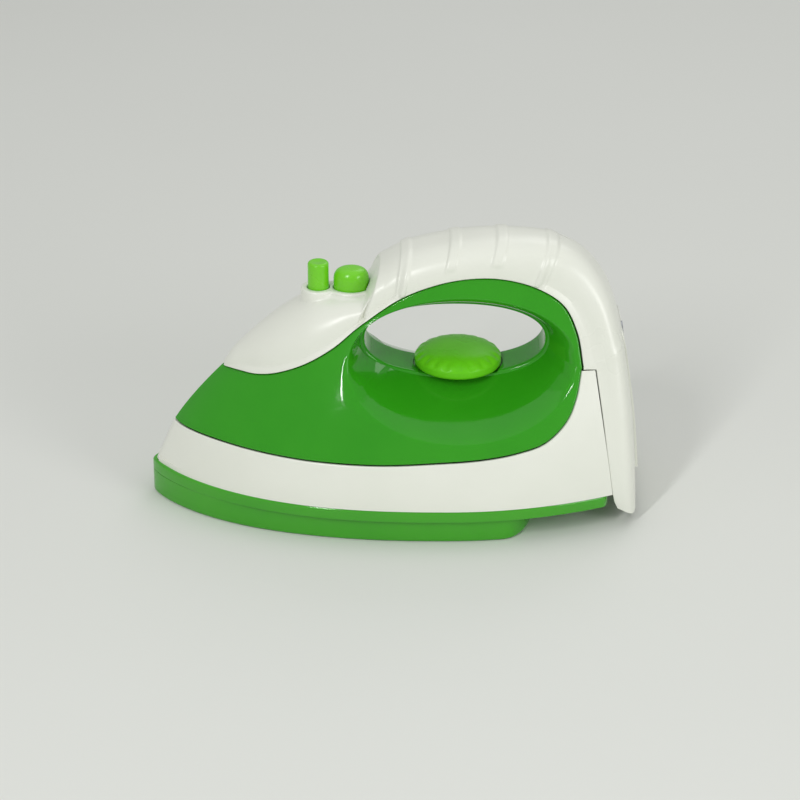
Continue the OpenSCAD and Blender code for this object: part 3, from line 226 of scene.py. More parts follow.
# Lamps: place, aim, width, height and power; the camera, the floor and the sky
LAMPS = {
    "key": ((-0.52, -1.0, 0.95), (0, 0, 0.05), 0.07, 0.6, 6.4),
    "fill": ((0.9, -0.8, 0.5), (0, 0, 0.05), 0.5, 0.5, 4.2),
    "top": ((0.05, 0.1, 1.2), (0, 0, 0.05), 1.7, 1.7, 3.2),
    "rear": ((0.4, 0.9, 1.0), (0, 0, 0.06), 0.6, 0.6, 1.6),
}
CAMERA_PLACE, CAMERA_DROP, SENSOR, LENS, CAMERA_REACH = (0.0024, -1.0633, 0.5598), 26, 36, 129.5, 20
FLOOR_REACH, SKY_STRENGTH = 6, 0.45
# Each slot's material: name, pale tone or the sidebar's colour, deep tone, size of its patches and of its grain
# in mm, roughness from and to, strength of the grain, and further inputs of the shader
LOOKS = {
    # Moulded from a fine eroded tool: soft satin highlights, a faint grain, drawn coarser than it is
    "white_plastic": ("White moulded ABS", "shell", "#dfe2d6", 34, 0.9, (0.26, 0.36), 0.05, {"IOR": 1.53}),
    # From a polished tool: sharp gloss, and the pale inside shows through it
    "tank_plastic": ("Clear green polystyrene", "tank", "#2fa516", 40, 2.5, (0.05, 0.1), 0.02,
                     {"IOR": 1.57, "Transmission Weight": 0.3, "Specular IOR Level": 0.25}),
    # Paler than the tank, and thick at its edges, where it glows
    "sole_plastic": ("Clear lime polystyrene", "sole", "#3cb018", 40, 2.5, (0.06, 0.13), 0.03,
                     {"IOR": 1.57, "Transmission Weight": 0.3}),
    # Glossy: a bright solid colour with a clear highlight
    "button_plastic": ("Lime moulded ABS", "button", "#66c418", 14, 0.8, (0.2, 0.3), 0.03, {"IOR": 1.53}),
    # A shade deeper, and softer in its gloss than the buttons
    "dial_plastic": ("Green moulded ABS", "dial", "#5fc41a", 16, 0.8, (0.24, 0.34), 0.04,
                     {"IOR": 1.53, "Specular IOR Level": 0.15}),
    # Undyed plastic of the inner parts: dull and a little blotchy
    "box_plastic": ("Natural moulded ABS", "#d9dbd4", "#c6c9c1", 12, 0.7, (0.42, 0.55), 0.08, {"IOR": 1.53}),
    # Wire, clips and screws: bright, with a faint blotchy sheen
    "spring_steel": ("Zinc plated steel", "#c4c7cb", "#a5a9ae", 3, 0.4, (0.24, 0.38), 0.06, {"Metallic": 1.0}),
    # Deep green, with mottled copper under the lacquer
    "board": ("Lacquered epoxy board", "#2f7d46", "#1f5c33", 2.2, 0.5, (0.3, 0.45), 0.08, {"IOR": 1.55}),
    # Switches and speaker: dark and matt
    "switch_plastic": ("Black moulded nylon", "#2a2c2f", "#1d1e20", 6, 0.6, (0.45, 0.6), 0.1, {"IOR": 1.53}),
    # Plain jacket of a cell: dark, glossy, a little uneven
    "cell_jacket": ("Shrink sleeve", "#41464d", "#2f3338", 18, 0.9, (0.22, 0.34), 0.05, {"IOR": 1.5}),
    # The lamp's body: milky, with light passing into it
    "lamp_plastic": ("Milky cast epoxy", "#f4f2e6", "#e6e2cf", 4, 0.6, (0.15, 0.25), 0.03,
                     {"IOR": 1.54, "Transmission Weight": 0.3}),
    # Soft sleeves of the leads: an even colour with a waxy sheen
    "lead_red": ("Red lead PVC", "#c8281f", "#a81f18", 5, 0.5, (0.35, 0.48), 0.05, {"IOR": 1.53}),
    "lead_black": ("Black lead PVC", "#232326", "#161618", 5, 0.5, (0.35, 0.48), 0.05, {"IOR": 1.53}),
    # The floor: even, with no highlight
    "floor": ("Matt white paint", "#dfe1dc", "#dadcd6", 400, 9, (0.85, 0.95), 0.02, {}),
}
LOOKS["screw_steel"], LOOKS["speaker_black"] = LOOKS["spring_steel"], LOOKS["switch_plastic"]


def smooth(t):
    """Soft step from 0 to 1."""
    t = np.clip(t, 0, 1)
    return t * t * (3 - 2 * t)


def unit(v):
    """Vectors of length 1, along the last axis."""
    return v / np.maximum(np.linalg.norm(v, axis=-1, keepdims=True), 1e-12)


def spline(rows, u):
    """Smooth curve through the rows of a table."""
    rows, u = np.asarray(rows, float), np.asarray(u, float)
    i = np.minimum(np.floor(u).astype(int), len(rows) - 2)
    t, k = (u - i)[:, None], i[:, None]
    b, c = rows[i], rows[i + 1]
    a = np.where(k > 0, rows[np.maximum(i - 1, 0)], 2 * b - c)
    d = np.where(k + 2 < len(rows), rows[np.minimum(i + 2, len(rows) - 1)], 2 * c - b)
    return (2 * b + (c - a) * t + (2 * a - 5 * b + 4 * c - d) * t**2 + (3 * b - a - 3 * c + d) * t**3) / 2


def sample(rows, steps):
    """Evenly spaced rows along a table's curve."""
    return spline(rows, np.linspace(0, len(rows) - 1, steps + 1))


def round_pull(distance, radius):
    """How far a rounded edge stands back at a distance from the edge."""
    reach = np.clip(radius - distance, 0, radius)
    return radius - np.sqrt(radius**2 - reach**2)


def directions(grid):
    """Outward directions of a grid of points, kept flat in the middle plane."""
    raw = np.cross(np.gradient(grid, axis=0), np.gradient(grid, axis=1))
    raw[np.abs(grid[..., 1]) < IN_PLANE, 1] = 0
    return unit(raw)


def xyz(x, y, z):
    """Points from their three coordinates, any of which may be one number."""
    return np.stack(np.broadcast_arrays(x, y, z), -1)


def in_space(p, y):
    """Points of the side view, moved to the side."""
    return xyz(p[..., 0], y, p[..., 1])


def full_turn(steps):
    """Evenly spaced angles round a circle."""
    return np.linspace(0, 2 * math.pi, steps, endpoint=False)


def quarter(steps):
    """Evenly spaced angles over a quarter turn."""
    return np.linspace(0, math.pi / 2, steps + 1)


def fillet(radius, steps=6):
    """Pairs of distances along a rounded edge: from 0 and the radius to the radius and 0."""
    return [(radius * (1 - math.cos(t)), radius * (1 - math.sin(t))) for t in quarter(steps)]


class IronForm:
    """Shape formulas that the shells share, from the sizes in the sidebar."""

    def __init__(self, sizes):
        self.s = sizes

    def px(self, share):
        return (share - 0.5) * self.s.body_length

    def pz(self, share):
        return share * self.s.body_height

    def at(self, x, z):
        """Points of the side view from shares of the length and the height."""
        return np.stack([self.px(x), self.pz(z)], -1)

    def nose_x(self, z):
        """Where the nose line stands at a height: the curve through its four points."""
        z = np.minimum(np.asarray(z, float) / self.s.body_height, NOSE_LINE_SHARES[-1][0])
        total = np.zeros_like(z)
        for i, (height, place) in enumerate(NOSE_LINE_SHARES):
            part = np.ones_like(z)
            for j, (other, _) in enumerate(NOSE_LINE_SHARES):
                if j != i:
                    part = part * (z - other) / (height - other)
            total = total + place * part
        return self.px(total)

    def half_width(self, x, z):
        """Half width of the body's egg shaped plan at a point of the side view."""
        x, z = np.asarray(x, float), np.asarray(z, float)
        low, high = TAPER_SHARES
        taper = 1 - SIDE_TAPER_SHARE * smooth((z / self.s.body_height - low) / (high - low))
        middle, full = self.px(WIDEST_SHARE), taper * self.s.body_width / 2
        ahead = np.clip((middle - x) / (middle - self.nose_x(z)), 0, 1)
        front = full * (1 - ahead**NOSE_SHARPNESS) ** NOSE_FULLNESS
        rear = full * (1 - ((x - middle) / (TAIL_SHARE * self.s.body_length)) ** 2)
        return np.where(x < middle, front, rear)

    def section(self, rows, depth, lip_parts, crown_turns, edge_round, lip, seam):
        """Points across each row of the upper shell: up its flared lip, then over the crown."""
        s = self.s
        edge, ridge = self.at(rows[:, 0], rows[:, 1]), self.at(rows[:, 2], rows[:, 3])
        room = np.linalg.norm(ridge - edge, axis=1)
        climb = (ridge - edge) / room[:, None]
        fit = np.minimum(1, room / s.lip_height / LIP_ROOM)
        flare = s.lip_width * fit * np.minimum(lip, 1)
        rise = s.lip_height * fit * np.maximum(lip, LEAST_LIP)
        start = edge + seam[:, None] * climb
        foot = start + rise[:, None] * climb
        top = ridge - depth[:, None] * climb
        side = self.half_width(edge[:, 0], edge[:, 1]) - depth
        columns = []
        for part in lip_parts:
            half = side - flare * part**LIP_BEND - round_pull(part * rise, edge_round * fit)
            columns.append(in_space(start + (foot - start) * part, -np.maximum(half, 0)))
        power = 2 / rows[:, 4]
        for turn in crown_turns:
            half = (side - flare) * max(math.cos(turn), 0) ** power
            columns.append(in_space(foot + (top - foot) * (math.sin(turn) ** power)[:, None], -half.clip(0)))
        columns[-1][:, 1] = 0
        return np.stack(columns, 1)

    def rows_wall(self, rows):
        """Wall of the upper shell at each row, thinner where the shell runs out at the nose."""
        across = self.at(rows[:, 2], rows[:, 3]) - self.at(rows[:, 0], rows[:, 1])
        return np.minimum(self.s.wall, np.linalg.norm(across, axis=1) / 3)

    def back_x(self, z):
        """Back of the heel: the ridge line's place at a height."""
        ridge = np.array([row[2:4] for row in HANDLE_SHARES[-4:-1] + HEEL_SHARES])[::-1]
        rows = sample(ridge, BACK_STEPS)
        return np.interp(z, self.pz(rows[:, 1]), self.px(rows[:, 0]))

    def rim(self, turn):
        """Point of the finger opening's outline at a turn in degrees."""
        s, power = self.s, 2 / RIM_SQUARENESS
        c, n = np.cos(np.radians(turn)), np.sin(np.radians(turn))
        x = self.px(OPENING_SHARES[0]) + s.opening_length / 2 * np.sign(c) * np.abs(c) ** power
        z = self.pz(OPENING_SHARES[1]) + s.opening_height / 2 * np.sign(n) * np.abs(n) ** power
        return np.stack([x, z], -1)

    def saddle_z(self):
        """Height of the opening's lower edge at the dial."""
        away = abs(self.px(DIAL_X_SHARE) - self.px(OPENING_SHARES[0])) * 2 / self.s.opening_length
        drop = (1 - away**RIM_SQUARENESS) ** (1 / RIM_SQUARENESS)
        return self.pz(OPENING_SHARES[1]) - self.s.opening_height / 2 * drop

    def tank_stops(self):
        """Stations round the tank's outer edge: x, z, turn of the rung, and 0 where the nose closes it."""
        s = self.s
        arch = spline(HANDLE_SHARES, np.linspace(0, len(HANDLE_SHARES) - 1, TANK_ARCH + 1)[:-1])
        upper = np.concatenate([sample(BRIDGE_SHARES, TANK_BRIDGE), arch])[:, [0, 1, 5]]
        stations = np.concatenate([np.linspace(SEAM_END, SEAM_TURN, TANK_CORNER + 1),
                                   np.linspace(SEAM_TURN, 0, TANK_SKIRT + 1)[1:-1]])
        rows = np.concatenate([upper, spline(SEAM_SHARES, stations)])
        edge = np.column_stack([self.at(rows[:, 0], rows[:, 1]), rows[:, 2], np.ones(len(rows))])
        low = self.pz(SKIRT_SHARES[0][1]) + 2 * s.seam_gap
        high = self.pz(BRIDGE_SHARES[0][1]) - s.seam_gap
        turns = (SKIRT_SHARES[0][3], BRIDGE_SHARES[0][5] - 360)
        z, turn = np.linspace((low, turns[0]), (high, turns[1]), TANK_NOSE + 1).T
        stops = np.concatenate([edge, np.column_stack([self.nose_x(z), z, turn, 0 * z])])
        ahead = unit(np.roll(stops[:, :2], -1, 0) - np.roll(stops[:, :2], 1, 0))
        stops[:, :2] += s.seam_gap * stops[:, 3:4] * np.stack([ahead[:, 1], -ahead[:, 0]], -1)
        return stops

    def tank_half(self):
        """Outer and inner skin of the tank's near half, from the opening's lining to the seams."""
        s, stops = self.s, self.tank_stops()
        rim, edge = self.rim(stops[:, 2]), stops[:, :2]
        run = edge - rim
        long = np.linalg.norm(run, axis=1)
        first = s.rim_round / long
        scale = 2 / np.array([s.dish_length, s.dish_height])
        a, b = (rim - self.at(*DISH_SHARES)) * scale, run * scale
        ab, bb = (a * b).sum(1), (b * b).sum(1)
        leave = (np.sqrt(ab**2 - bb * ((a * a).sum(1) - 1)) - ab) / bb
        leave = np.minimum(DISH_END_SHARE, leave)
        closed = stops[:, 3] == 0

        def half(t):
            p = rim + run * t[:, None]
            q = np.clip((t - first) / (leave - first), 0, 1)
            body = np.maximum(0, self.half_width(p[:, 0], p[:, 1]) - s.tank_inset)
            return s.rim_width / 2 + (body - s.rim_width / 2) * (1 - (1 - q) ** DISH_FULLNESS)

        def on_rung(t, y):
            return in_space(rim + run * t[:, None], y)

        lining = s.rim_width / 2 - s.rim_round
        inside = (s.wall / long, first + s.wall / long)
        thin = np.where(closed, 1, np.maximum(0, 1 - half(np.ones_like(long)) / (2 * s.wall)))
        tail = 1 - NOSE_WALL * thin / long
        outer, inner = [], []
        for part in np.linspace(0, 1, LINING_STEPS + 1):
            outer.append(on_rung(0 * long, -lining * part))
            inner.append(on_rung(inside[0], -(lining - s.wall / 2) * part))
        for turn in quarter(ROUND_STEPS)[1:-1]:
            outer.append(on_rung(first * (1 - math.cos(turn)), -lining - s.rim_round * math.sin(turn)))
            inner.append(on_rung(inside[0] + first * (1 - math.cos(turn)),
                                 -lining + s.wall / 2 - (s.rim_round - s.wall / 2) * math.sin(turn)))
        edge_turn = TANK_ROUND / long
        shares = [first + (leave - first) * level for level in np.linspace(0, 1, DISH_STEPS + 1)]
        shares += [leave + (1 - edge_turn - leave) * level for level in np.linspace(0, 1, FLANK_STEPS + 1)[1:]]
        shares += [1 - edge_turn * (1 - math.sin(turn)) for turn in quarter(EDGE_STEPS)[1:]]
        for share in shares:
            t = inside[1] + (share - first) * (tail - inside[1]) / (1 - first)
            flat = closed & (share == 1)
            pull = np.where(closed, 0, round_pull((1 - share) * long, TANK_ROUND))
            outer.append(on_rung(share, np.where(flat, 0, -np.maximum(0, half(share) - pull))))
            inner.append(on_rung(t, np.where(flat, 0, -np.maximum(0, half(t) - s.wall))))
        return np.stack(outer, 1), np.stack(inner, 1)

    def skirt_skins(self):
        """Outer and inner skin of the white skirt, from heel to heel round the nose."""
        s = self.s
        front, rear = float(self.nose_x(s.sole_height)), self.px(BAND_END_SHARE)
        low = [(front + (rear - front) * r[2], s.sole_height) for r in sample(SKIRT_SHARES, SKIRT_STEPS)]
        low += [(self.px(r[2]), max(s.sole_height, self.pz(r[3])))
                for r in sample(CORNER_SHARES, CORNER_STEPS)[1:]]
        stations = np.concatenate([np.linspace(0, SEAM_TURN, SKIRT_STEPS + 1),
                                   np.linspace(SEAM_TURN, SEAM_END, CORNER_STEPS + 1)[1:]])
        seam = spline(SEAM_SHARES, stations)
        low, high = np.array(low), self.at(seam[:, 0], seam[:, 1])
        p = low[:, None] + (high - low)[:, None] * SKIRT_LEVELS[None, :, None]
        side = in_space(p, -self.half_width(p[..., 0], p[..., 1]))
        side[0, :, 1] = 0
        grid = np.concatenate([side[:0:-1] * (1, -1, 1), side])
        d = s.wall / 8
        x, z = grid[..., 0], grid[..., 2]
        slope_x = (self.half_width(x + d, z) - self.half_width(x - d, z)) / (2 * d)
        slope_z = (self.half_width(x, z + d) - self.half_width(x, z - d)) / (2 * d)
        out = unit(xyz(-slope_x, np.sign(grid[..., 1]), -slope_z))
        inner = grid - s.wall * out
        inner[..., 2] = np.maximum(inner[..., 2], s.sole_height)
        away = np.linalg.norm(grid - grid[:, -1:], axis=-1)
        outer = grid - out * round_pull(away, EDGE_ROUND)[..., None]
        return outer, inner

    def sole_loop(self, z, end, corner, inset, draw):
        """Plan loop of the sole, anticlockwise from the nose, drawn in by an inset."""
        s = self.s
        front = float(self.nose_x(s.sole_height)) - s.sole_toe + inset
        rear = end - inset
        side = 1 - np.cos(quarter(SOLE_SIDE_STEPS))
        turn = np.concatenate([0 * side, quarter(SOLE_CORNER_STEPS)[1:]])
        power = 2 / NOSE_SHARPNESS
        x = np.concatenate([front + (rear - corner - front) * side,
                            rear - corner * (1 - np.sin(turn[len(side):]) ** power)])
        f = (x - front) / (rear - front)
        half = self.half_width(x + s.sole_toe * (1 - f), s.sole_height) - inset - draw * smooth(2 * f)
        y = np.maximum(inset / 2, half) * np.maximum(np.cos(turn), 0) ** power
        y[0] = y[-1] = 0
        near = xyz(x, -y, z)
        return np.concatenate([near, near[-2:0:-1] * (1, -1, 1)])


def quads(index):
    """Faces between neighbouring rows of a grid of point numbers."""
    return np.stack([index[:-1, :-1], index[:-1, 1:], index[1:, 1:], index[1:, :-1]], -1).reshape(-1, 4)


def wall_between(outer, inner, wrap=False):
    """Points and faces of a closed wall between two equal grids of points."""
    m, n = outer.shape[:2]
    front = np.arange(m * n).reshape(m, n)
    if wrap:
        front = np.vstack([front, front[:1]])
    back = front + m * n
    faces = [quads(front), quads(back)[:, ::-1]]
    faces.append(quads(np.stack([front[:, 0], back[:, 0]], -1))[:, ::-1])
    faces.append(quads(np.stack([front[:, -1], back[:, -1]], -1)))
    if not wrap:
        faces.append(quads(np.stack([front[0], back[0]], -1)))
        faces.append(quads(np.stack([front[-1], back[-1]], -1))[:, ::-1])
    return np.concatenate([outer.reshape(-1, 3), inner.reshape(-1, 3)]), np.concatenate(faces)


def loft(loops):
    """Points and faces of a closed skin through equal loops, flat at both ends."""
    loops = np.asarray(loops)
    m, n = loops.shape[:2]
    index = np.arange(m * n).reshape(m, n)
    index = np.hstack([index, index[:, :1]])
    faces = quads(index).tolist()
    return loops.reshape(-1, 3), faces + [list(range(n - 1, -1, -1)), list(range(m * n - n, m * n))]


def lathe(profile, centre, steps=96):
    """Points and faces of a turned piece: its profile of radius and height, from axis to axis."""
    turns = full_turn(steps)
    return loft([xyz(centre[0] + r * np.cos(turns), centre[1] + r * np.sin(turns), z) for r, z in profile])


def stack(centre, *rods, steps=48):
    """Points and faces of upright round rods, one on top of the other: radius, foot and head of each."""
    profile = [(radius, z) for radius, *ends in rods for z in ends]
    return lathe([(0, profile[0][1]), *profile, (0, profile[-1][1])], centre, steps)


def block(low, high):
    """Points and faces of a box between two corners."""
    (x0, y0, z0), (x1, y1, z1) = low, high
    return loft([[(x0, y0, z), (x1, y0, z), (x1, y1, z), (x0, y1, z)] for z in (z0, z1)])


def linked(name, data):
    """A new object in the scene."""
    obj = bpy.data.objects.new(name, data)
    bpy.context.scene.collection.objects.link(obj)
    return obj


def mesh_object(name, points, faces, slot=None, crisp=CRISP):
    """A closed mesh with outward faces, merged doubles and crisp edges only where it turns sharply."""
    mesh = bpy.data.meshes.new(name)
    faces = faces.tolist() if isinstance(faces, np.ndarray) else faces
    mesh.from_pydata(np.asarray(points).tolist(), [], faces)
    work = bmesh.new()
    work.from_mesh(mesh)
    bmesh.ops.remove_doubles(work, verts=work.verts, dist=WELD)
    bmesh.ops.dissolve_degenerate(work, dist=WELD / 2, edges=work.edges)
    if work.calc_volume(signed=True) < 0:
        bmesh.ops.reverse_faces(work, faces=work.faces)
    work.to_mesh(mesh)
    work.free()
    obj = linked(name, mesh)
    finish_mesh(obj, slot, crisp)
    return obj


def finish_mesh(obj, slot, crisp=CRISP):
    """Sets the slot's material and smooth shading with crisp edges past an angle."""
    obj.data.materials.clear()
    obj.data.materials.append(look(slot) if slot else None)
    obj.data.shade_smooth()
    obj.data.set_sharp_from_angle(angle=math.radians(crisp))


def bake(obj):
    """Turns what the modifiers make into the object's own mesh."""
    bpy.context.view_layer.update()
    evaluated = obj.evaluated_get(bpy.context.evaluated_depsgraph_get())
    mesh = bpy.data.meshes.new_from_object(evaluated)
    old = obj.data
    obj.modifiers.clear()
    obj.data = mesh
    bpy.data.meshes.remove(old)
    mesh.name = obj.name


def carve(obj, shapes, operation="DIFFERENCE"):
    """Cuts closed shapes out of a piece, or joins them to it."""
    cutters = [mesh_object("cutter", points, faces) for points, faces in shapes]
    for cutter in cutters:
        modifier = obj.modifiers.new("carve", "BOOLEAN")
        modifier.operation = operation
        modifier.solver = "MANIFOLD"
        modifier.object = cutter
    bake(obj)
    for cutter in cutters:
        bpy.data.objects.remove(cutter)


def mount(obj, body, slot, *nodes):
    """Puts a finished piece on its body, in place of its solids; its slot is not used."""
    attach(obj, body)
    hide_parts(*nodes)
    return obj


def settle(obj, body, slot, *nodes, crisp=CRISP):
    """Gives a carved piece its look again and mounts it."""
    finish_mesh(obj, slot, crisp)
    return mount(obj, body, slot, *nodes)


def linear(colour):
    """Linear colour of an sRGB hex value."""
    parts = [int(colour[k:k + 2], 16) / 255 for k in (1, 3, 5)]
    return tuple(p / 12.92 if p <= 0.04045 else ((p + 0.055) / 1.055) ** 2.4 for p in parts)


def add(tree, kind, inputs=None, **settings):
    """Adds a node with its settings, and sets or links its inputs."""
    node = tree.nodes.new(kind)
    for name, value in settings.items():
        setattr(node, name, value)
    for key, value in (inputs or {}).items():
        if isinstance(value, bpy.types.NodeSocket):
            tree.links.new(value, node.inputs[key])
        else:
            node.inputs[key].default_value = value
    return node


def look(slot):
    """The material of a slot: its colour and gloss drift over patches, with a fine grain in its surface."""
    name, pale, deep, patch, grain, roughness, bump, more = LOOKS[slot]
    material = bpy.data.materials.get(name)
    if material:
        return material
    colours = bpy.context.scene.iron_colours
    light = linear(pale) if pale.startswith("#") else getattr(colours, pale)
    material = bpy.data.materials.new(name)
    material.use_nodes = True
    tree = material.node_tree
    tree.nodes.clear()
    place = add(tree, "ShaderNodeTexCoord").outputs["Object"]
    drift, fine = [
        add(tree, "ShaderNodeTexNoise", {"Vector": place, "Scale": 1 / (width * MM), "Detail": layers})
        for width, layers in ((patch, 3.0), (grain, 2.0))]
    tint = add(tree, "ShaderNodeMix", {"Factor": drift.outputs["Fac"], 6: (*linear(deep), 1), 7: (*light, 1)},
               data_type="RGBA")
    gloss = add(tree, "ShaderNodeMapRange", {"Value": drift.outputs["Fac"], "To Min": roughness[0],
                                             "To Max": roughness[1], "From Min": 0.3, "From Max": 0.7})
    relief = add(tree, "ShaderNodeBump", {"Height": fine.outputs["Fac"], "Strength": bump,
                                          "Distance": grain * MM / 4})
    shader = add(tree, "ShaderNodeBsdfPrincipled", {
        "Base Color": tint.outputs[2], "Roughness": gloss.outputs["Result"], "Normal": relief.outputs["Normal"],
        **more})
    add(tree, "ShaderNodeOutputMaterial", {"Surface": shader.outputs["BSDF"]})
    return material


def dressed(name, node, body, slot, edge=0):
    """A copy of a plain solid, with its edges softened where an edge is given, in its place."""
    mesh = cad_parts[node].data.copy()
    work = bmesh.new()
    work.from_mesh(mesh)
    bmesh.ops.remove_doubles(work, verts=work.verts, dist=WELD)
    bmesh.ops.dissolve_limit(work, angle_limit=math.radians(1), verts=work.verts, edges=work.edges)
    work.to_mesh(mesh)
    work.free()
    obj = linked(name, mesh)
    if edge:
        bevel = obj.modifiers.new("soft edges", "BEVEL")
        bevel.width = edge
        bevel.segments = 2
        bevel.angle_limit = math.radians(40)
        bake(obj)
    return settle(obj, body, slot, node)


def node_tree(name, *sizes):
    """An empty geometry tree with a geometry input and output and named sizes."""
    tree = bpy.data.node_groups.new(name, "GeometryNodeTree")
    tree.interface.new_socket("Geometry", in_out="INPUT", socket_type="NodeSocketGeometry")
    for label in sizes:
        tree.interface.new_socket(label, in_out="INPUT", socket_type="NodeSocketFloat")
    tree.interface.new_socket("Geometry", in_out="OUTPUT", socket_type="NodeSocketGeometry")
    return tree, add(tree, "NodeGroupInput").outputs


def close_tree(tree, geometry, slot):
    """Ends a tree in real geometry with its material."""
    real = add(tree, "GeometryNodeRealizeInstances", {"Geometry": geometry})
    made = add(tree, "GeometryNodeSetMaterial", {"Geometry": real.outputs["Geometry"], "Material": look(slot)})
    add(tree, "NodeGroupOutput", {"Geometry": made.outputs["Geometry"]})
    return tree


def grow(obj, tree, values):
    """Runs a tree on an object with its named sizes and bakes the result."""
    modifier = obj.modifiers.new(tree.name, "NODES")
    modifier.node_group = tree
    for item in tree.interface.items_tree:
        if item.in_out == "INPUT" and item.name in values:
            modifier[item.identifier] = values[item.name]
    bake(obj)
    return obj


def point_object(name, points, edges=(), axes=None, lengths=None):
    """A mesh of loose points that carries each point's axis and length."""
    mesh = bpy.data.meshes.new(name)
    mesh.from_pydata([tuple(p) for p in points], list(edges), [])
    if axes is not None:
        mesh.attributes.new("axis", "FLOAT_VECTOR", "POINT").data.foreach_set("vector", np.ravel(axes))
    if lengths is not None:
        mesh.attributes.new("length", "FLOAT", "POINT").data.foreach_set("value", np.ravel(lengths))
    return linked(name, mesh)


def half_of(tree, value):
    """Half of a size."""
    return add(tree, "ShaderNodeMath", {0: value, 1: 0.5}, operation="MULTIPLY").outputs[0]


def cylinder(tree, sides, diameter, depth):
    """An upright cylinder about the origin."""
    return add(tree, "GeometryNodeMeshCylinder", {
        "Vertices": sides, "Radius": half_of(tree, diameter), "Depth": depth}).outputs["Mesh"]


def raised(tree, geometry, z):
    """A geometry moved up."""
    lift = add(tree, "ShaderNodeCombineXYZ", {"Z": z}).outputs[0]
    return add(tree, "GeometryNodeTransform", {"Geometry": geometry, "Translation": lift}).outputs["Geometry"]


def subtract(tree, geometry, *cutters):
    """A geometry with closed meshes cut out of it."""
    cut = add(tree, "GeometryNodeMeshBoolean", {"Mesh 1": geometry}, operation="DIFFERENCE", solver="MANIFOLD")
    for mesh in cutters:
        tree.links.new(mesh, cut.inputs["Mesh 2"])
    return cut.outputs["Mesh"]


def tube(tree, curve, sides, radius):
    """A round tube with closed ends along a curve."""
    ring = add(tree, "GeometryNodeCurvePrimitiveCircle", {"Resolution": sides, "Radius": radius})
    return add(tree, "GeometryNodeCurveToMesh", {
        "Curve": curve, "Profile Curve": ring.outputs["Curve"], "Fill Caps": True}).outputs["Mesh"]


def carried(tree, name, kind):
    """What each point carries under a name."""
    return add(tree, "GeometryNodeInputNamedAttribute", {"Name": name}, data_type=kind).outputs["Attribute"]


def along_axis(tree):
    """Rotation that lays a copy along its point's axis."""
    return add(tree, "FunctionNodeAlignRotationToVector", {"Vector": carried(tree, "axis", "FLOAT_VECTOR")},
               axis="Z").outputs[0]


def copies(tree, points, instance, **turned):
    """Copies of a geometry on points, with their rotation and scale."""
    return add(tree, "GeometryNodeInstanceOnPoints", {
        "Points": points, "Instance": instance, **turned}).outputs["Instances"]


def screw_tree():
    """Cross head screws: a head with a cross recess over a shank of each point's own length."""
    tree, given = node_tree("cross_head_screws", "Head diameter", "Head height", "Shank diameter",
                            "Slot length", "Slot width")
    high, turn = given["Head height"], along_axis(tree)
    stretch = add(tree, "ShaderNodeCombineXYZ", {"X": 1.0, "Y": 1.0, "Z": carried(tree, "length", "FLOAT")})
    slots = []
    for a, b in (("Slot length", "Slot width"), ("Slot width", "Slot length")):
        size = add(tree, "ShaderNodeCombineXYZ", {"X": given[a], "Y": given[b], "Z": high})
        cube = add(tree, "GeometryNodeMeshCube", {"Size": size.outputs[0]})
        slots.append(raised(tree, cube.outputs["Mesh"], high))
    seat = raised(tree, cylinder(tree, 40, given["Head diameter"], high), half_of(tree, high))
    heads = copies(tree, given["Geometry"], subtract(tree, seat, *slots), Rotation=turn)
    down = raised(tree, cylinder(tree, 24, given["Shank diameter"], 1.0), -0.5)
    shanks = copies(tree, given["Geometry"], down, Rotation=turn, Scale=stretch.outputs[0])
    both = add(tree, "GeometryNodeJoinGeometry")
    for group in (heads, shanks):
        tree.links.new(group, both.inputs["Geometry"])
    return close_tree(tree, both.outputs["Geometry"], "screw_steel")


def coil_tree():
    """Coil springs: a round wire along a spiral, one on each point and along its axis."""
    tree, given = node_tree("coil_springs", "Radius", "Height", "Wire", "Turns")
    spiral = add(tree, "GeometryNodeCurveSpiral", {
        "Resolution": 40, "Rotations": given["Turns"], "Start Radius": given["Radius"],
        "End Radius": given["Radius"], "Height": given["Height"]})
    coil = tube(tree, spiral.outputs["Curve"], 12, given["Wire"])
    return close_tree(tree, copies(tree, given["Geometry"], coil, Rotation=along_axis(tree)), "spring_steel")


def lead_tree(slot):
    """A round sleeve along a smooth curve through the route's points."""
    tree, given = node_tree("lead_sleeve", "Radius")
    route = add(tree, "GeometryNodeMeshToCurve", {"Mesh": given["Geometry"]})
    curve = add(tree, "GeometryNodeCurveSplineType", {"Curve": route.outputs["Curve"]},
                spline_type="CATMULL_ROM")
    fine = add(tree, "GeometryNodeResampleCurve", {"Curve": curve.outputs["Curve"], "Count": 160})
    return close_tree(tree, tube(tree, fine.outputs["Curve"], 16, given["Radius"]), slot)


def drill_tree(slot, drills):
    """Holes or dimples: round drills on the points of another object, cut out of the piece."""
    tree, given = node_tree("drilled_holes", "Diameter", "Reach")
    places = add(tree, "GeometryNodeObjectInfo", {"Object": drills}, transform_space="RELATIVE")
    drill = cylinder(tree, 32, given["Diameter"], given["Reach"])
    cut = subtract(tree, given["Geometry"], copies(tree, places.outputs["Geometry"], drill))
    return close_tree(tree, cut, slot)


def drill(obj, points, diameter, reach, slot):
    """Drills round holes at points into a piece."""
    drills = point_object("drills", points)
    grow(obj, drill_tree(slot, drills), {"Diameter": diameter, "Reach": reach})
    bpy.data.objects.remove(drills)


def size(name, words, value):
    """A length for the sidebar, given in millimetres."""
    return FloatProperty(name=name, description=words, default=value * MM, min=0.0, max=0.3, unit="LENGTH",
                         precision=4)


def colour(name, words, value):
    """A colour for the sidebar, from its sRGB hex value."""
    return FloatVectorProperty(name=name, description=words, default=linear(value), subtype="COLOR",
                               min=0, max=1)


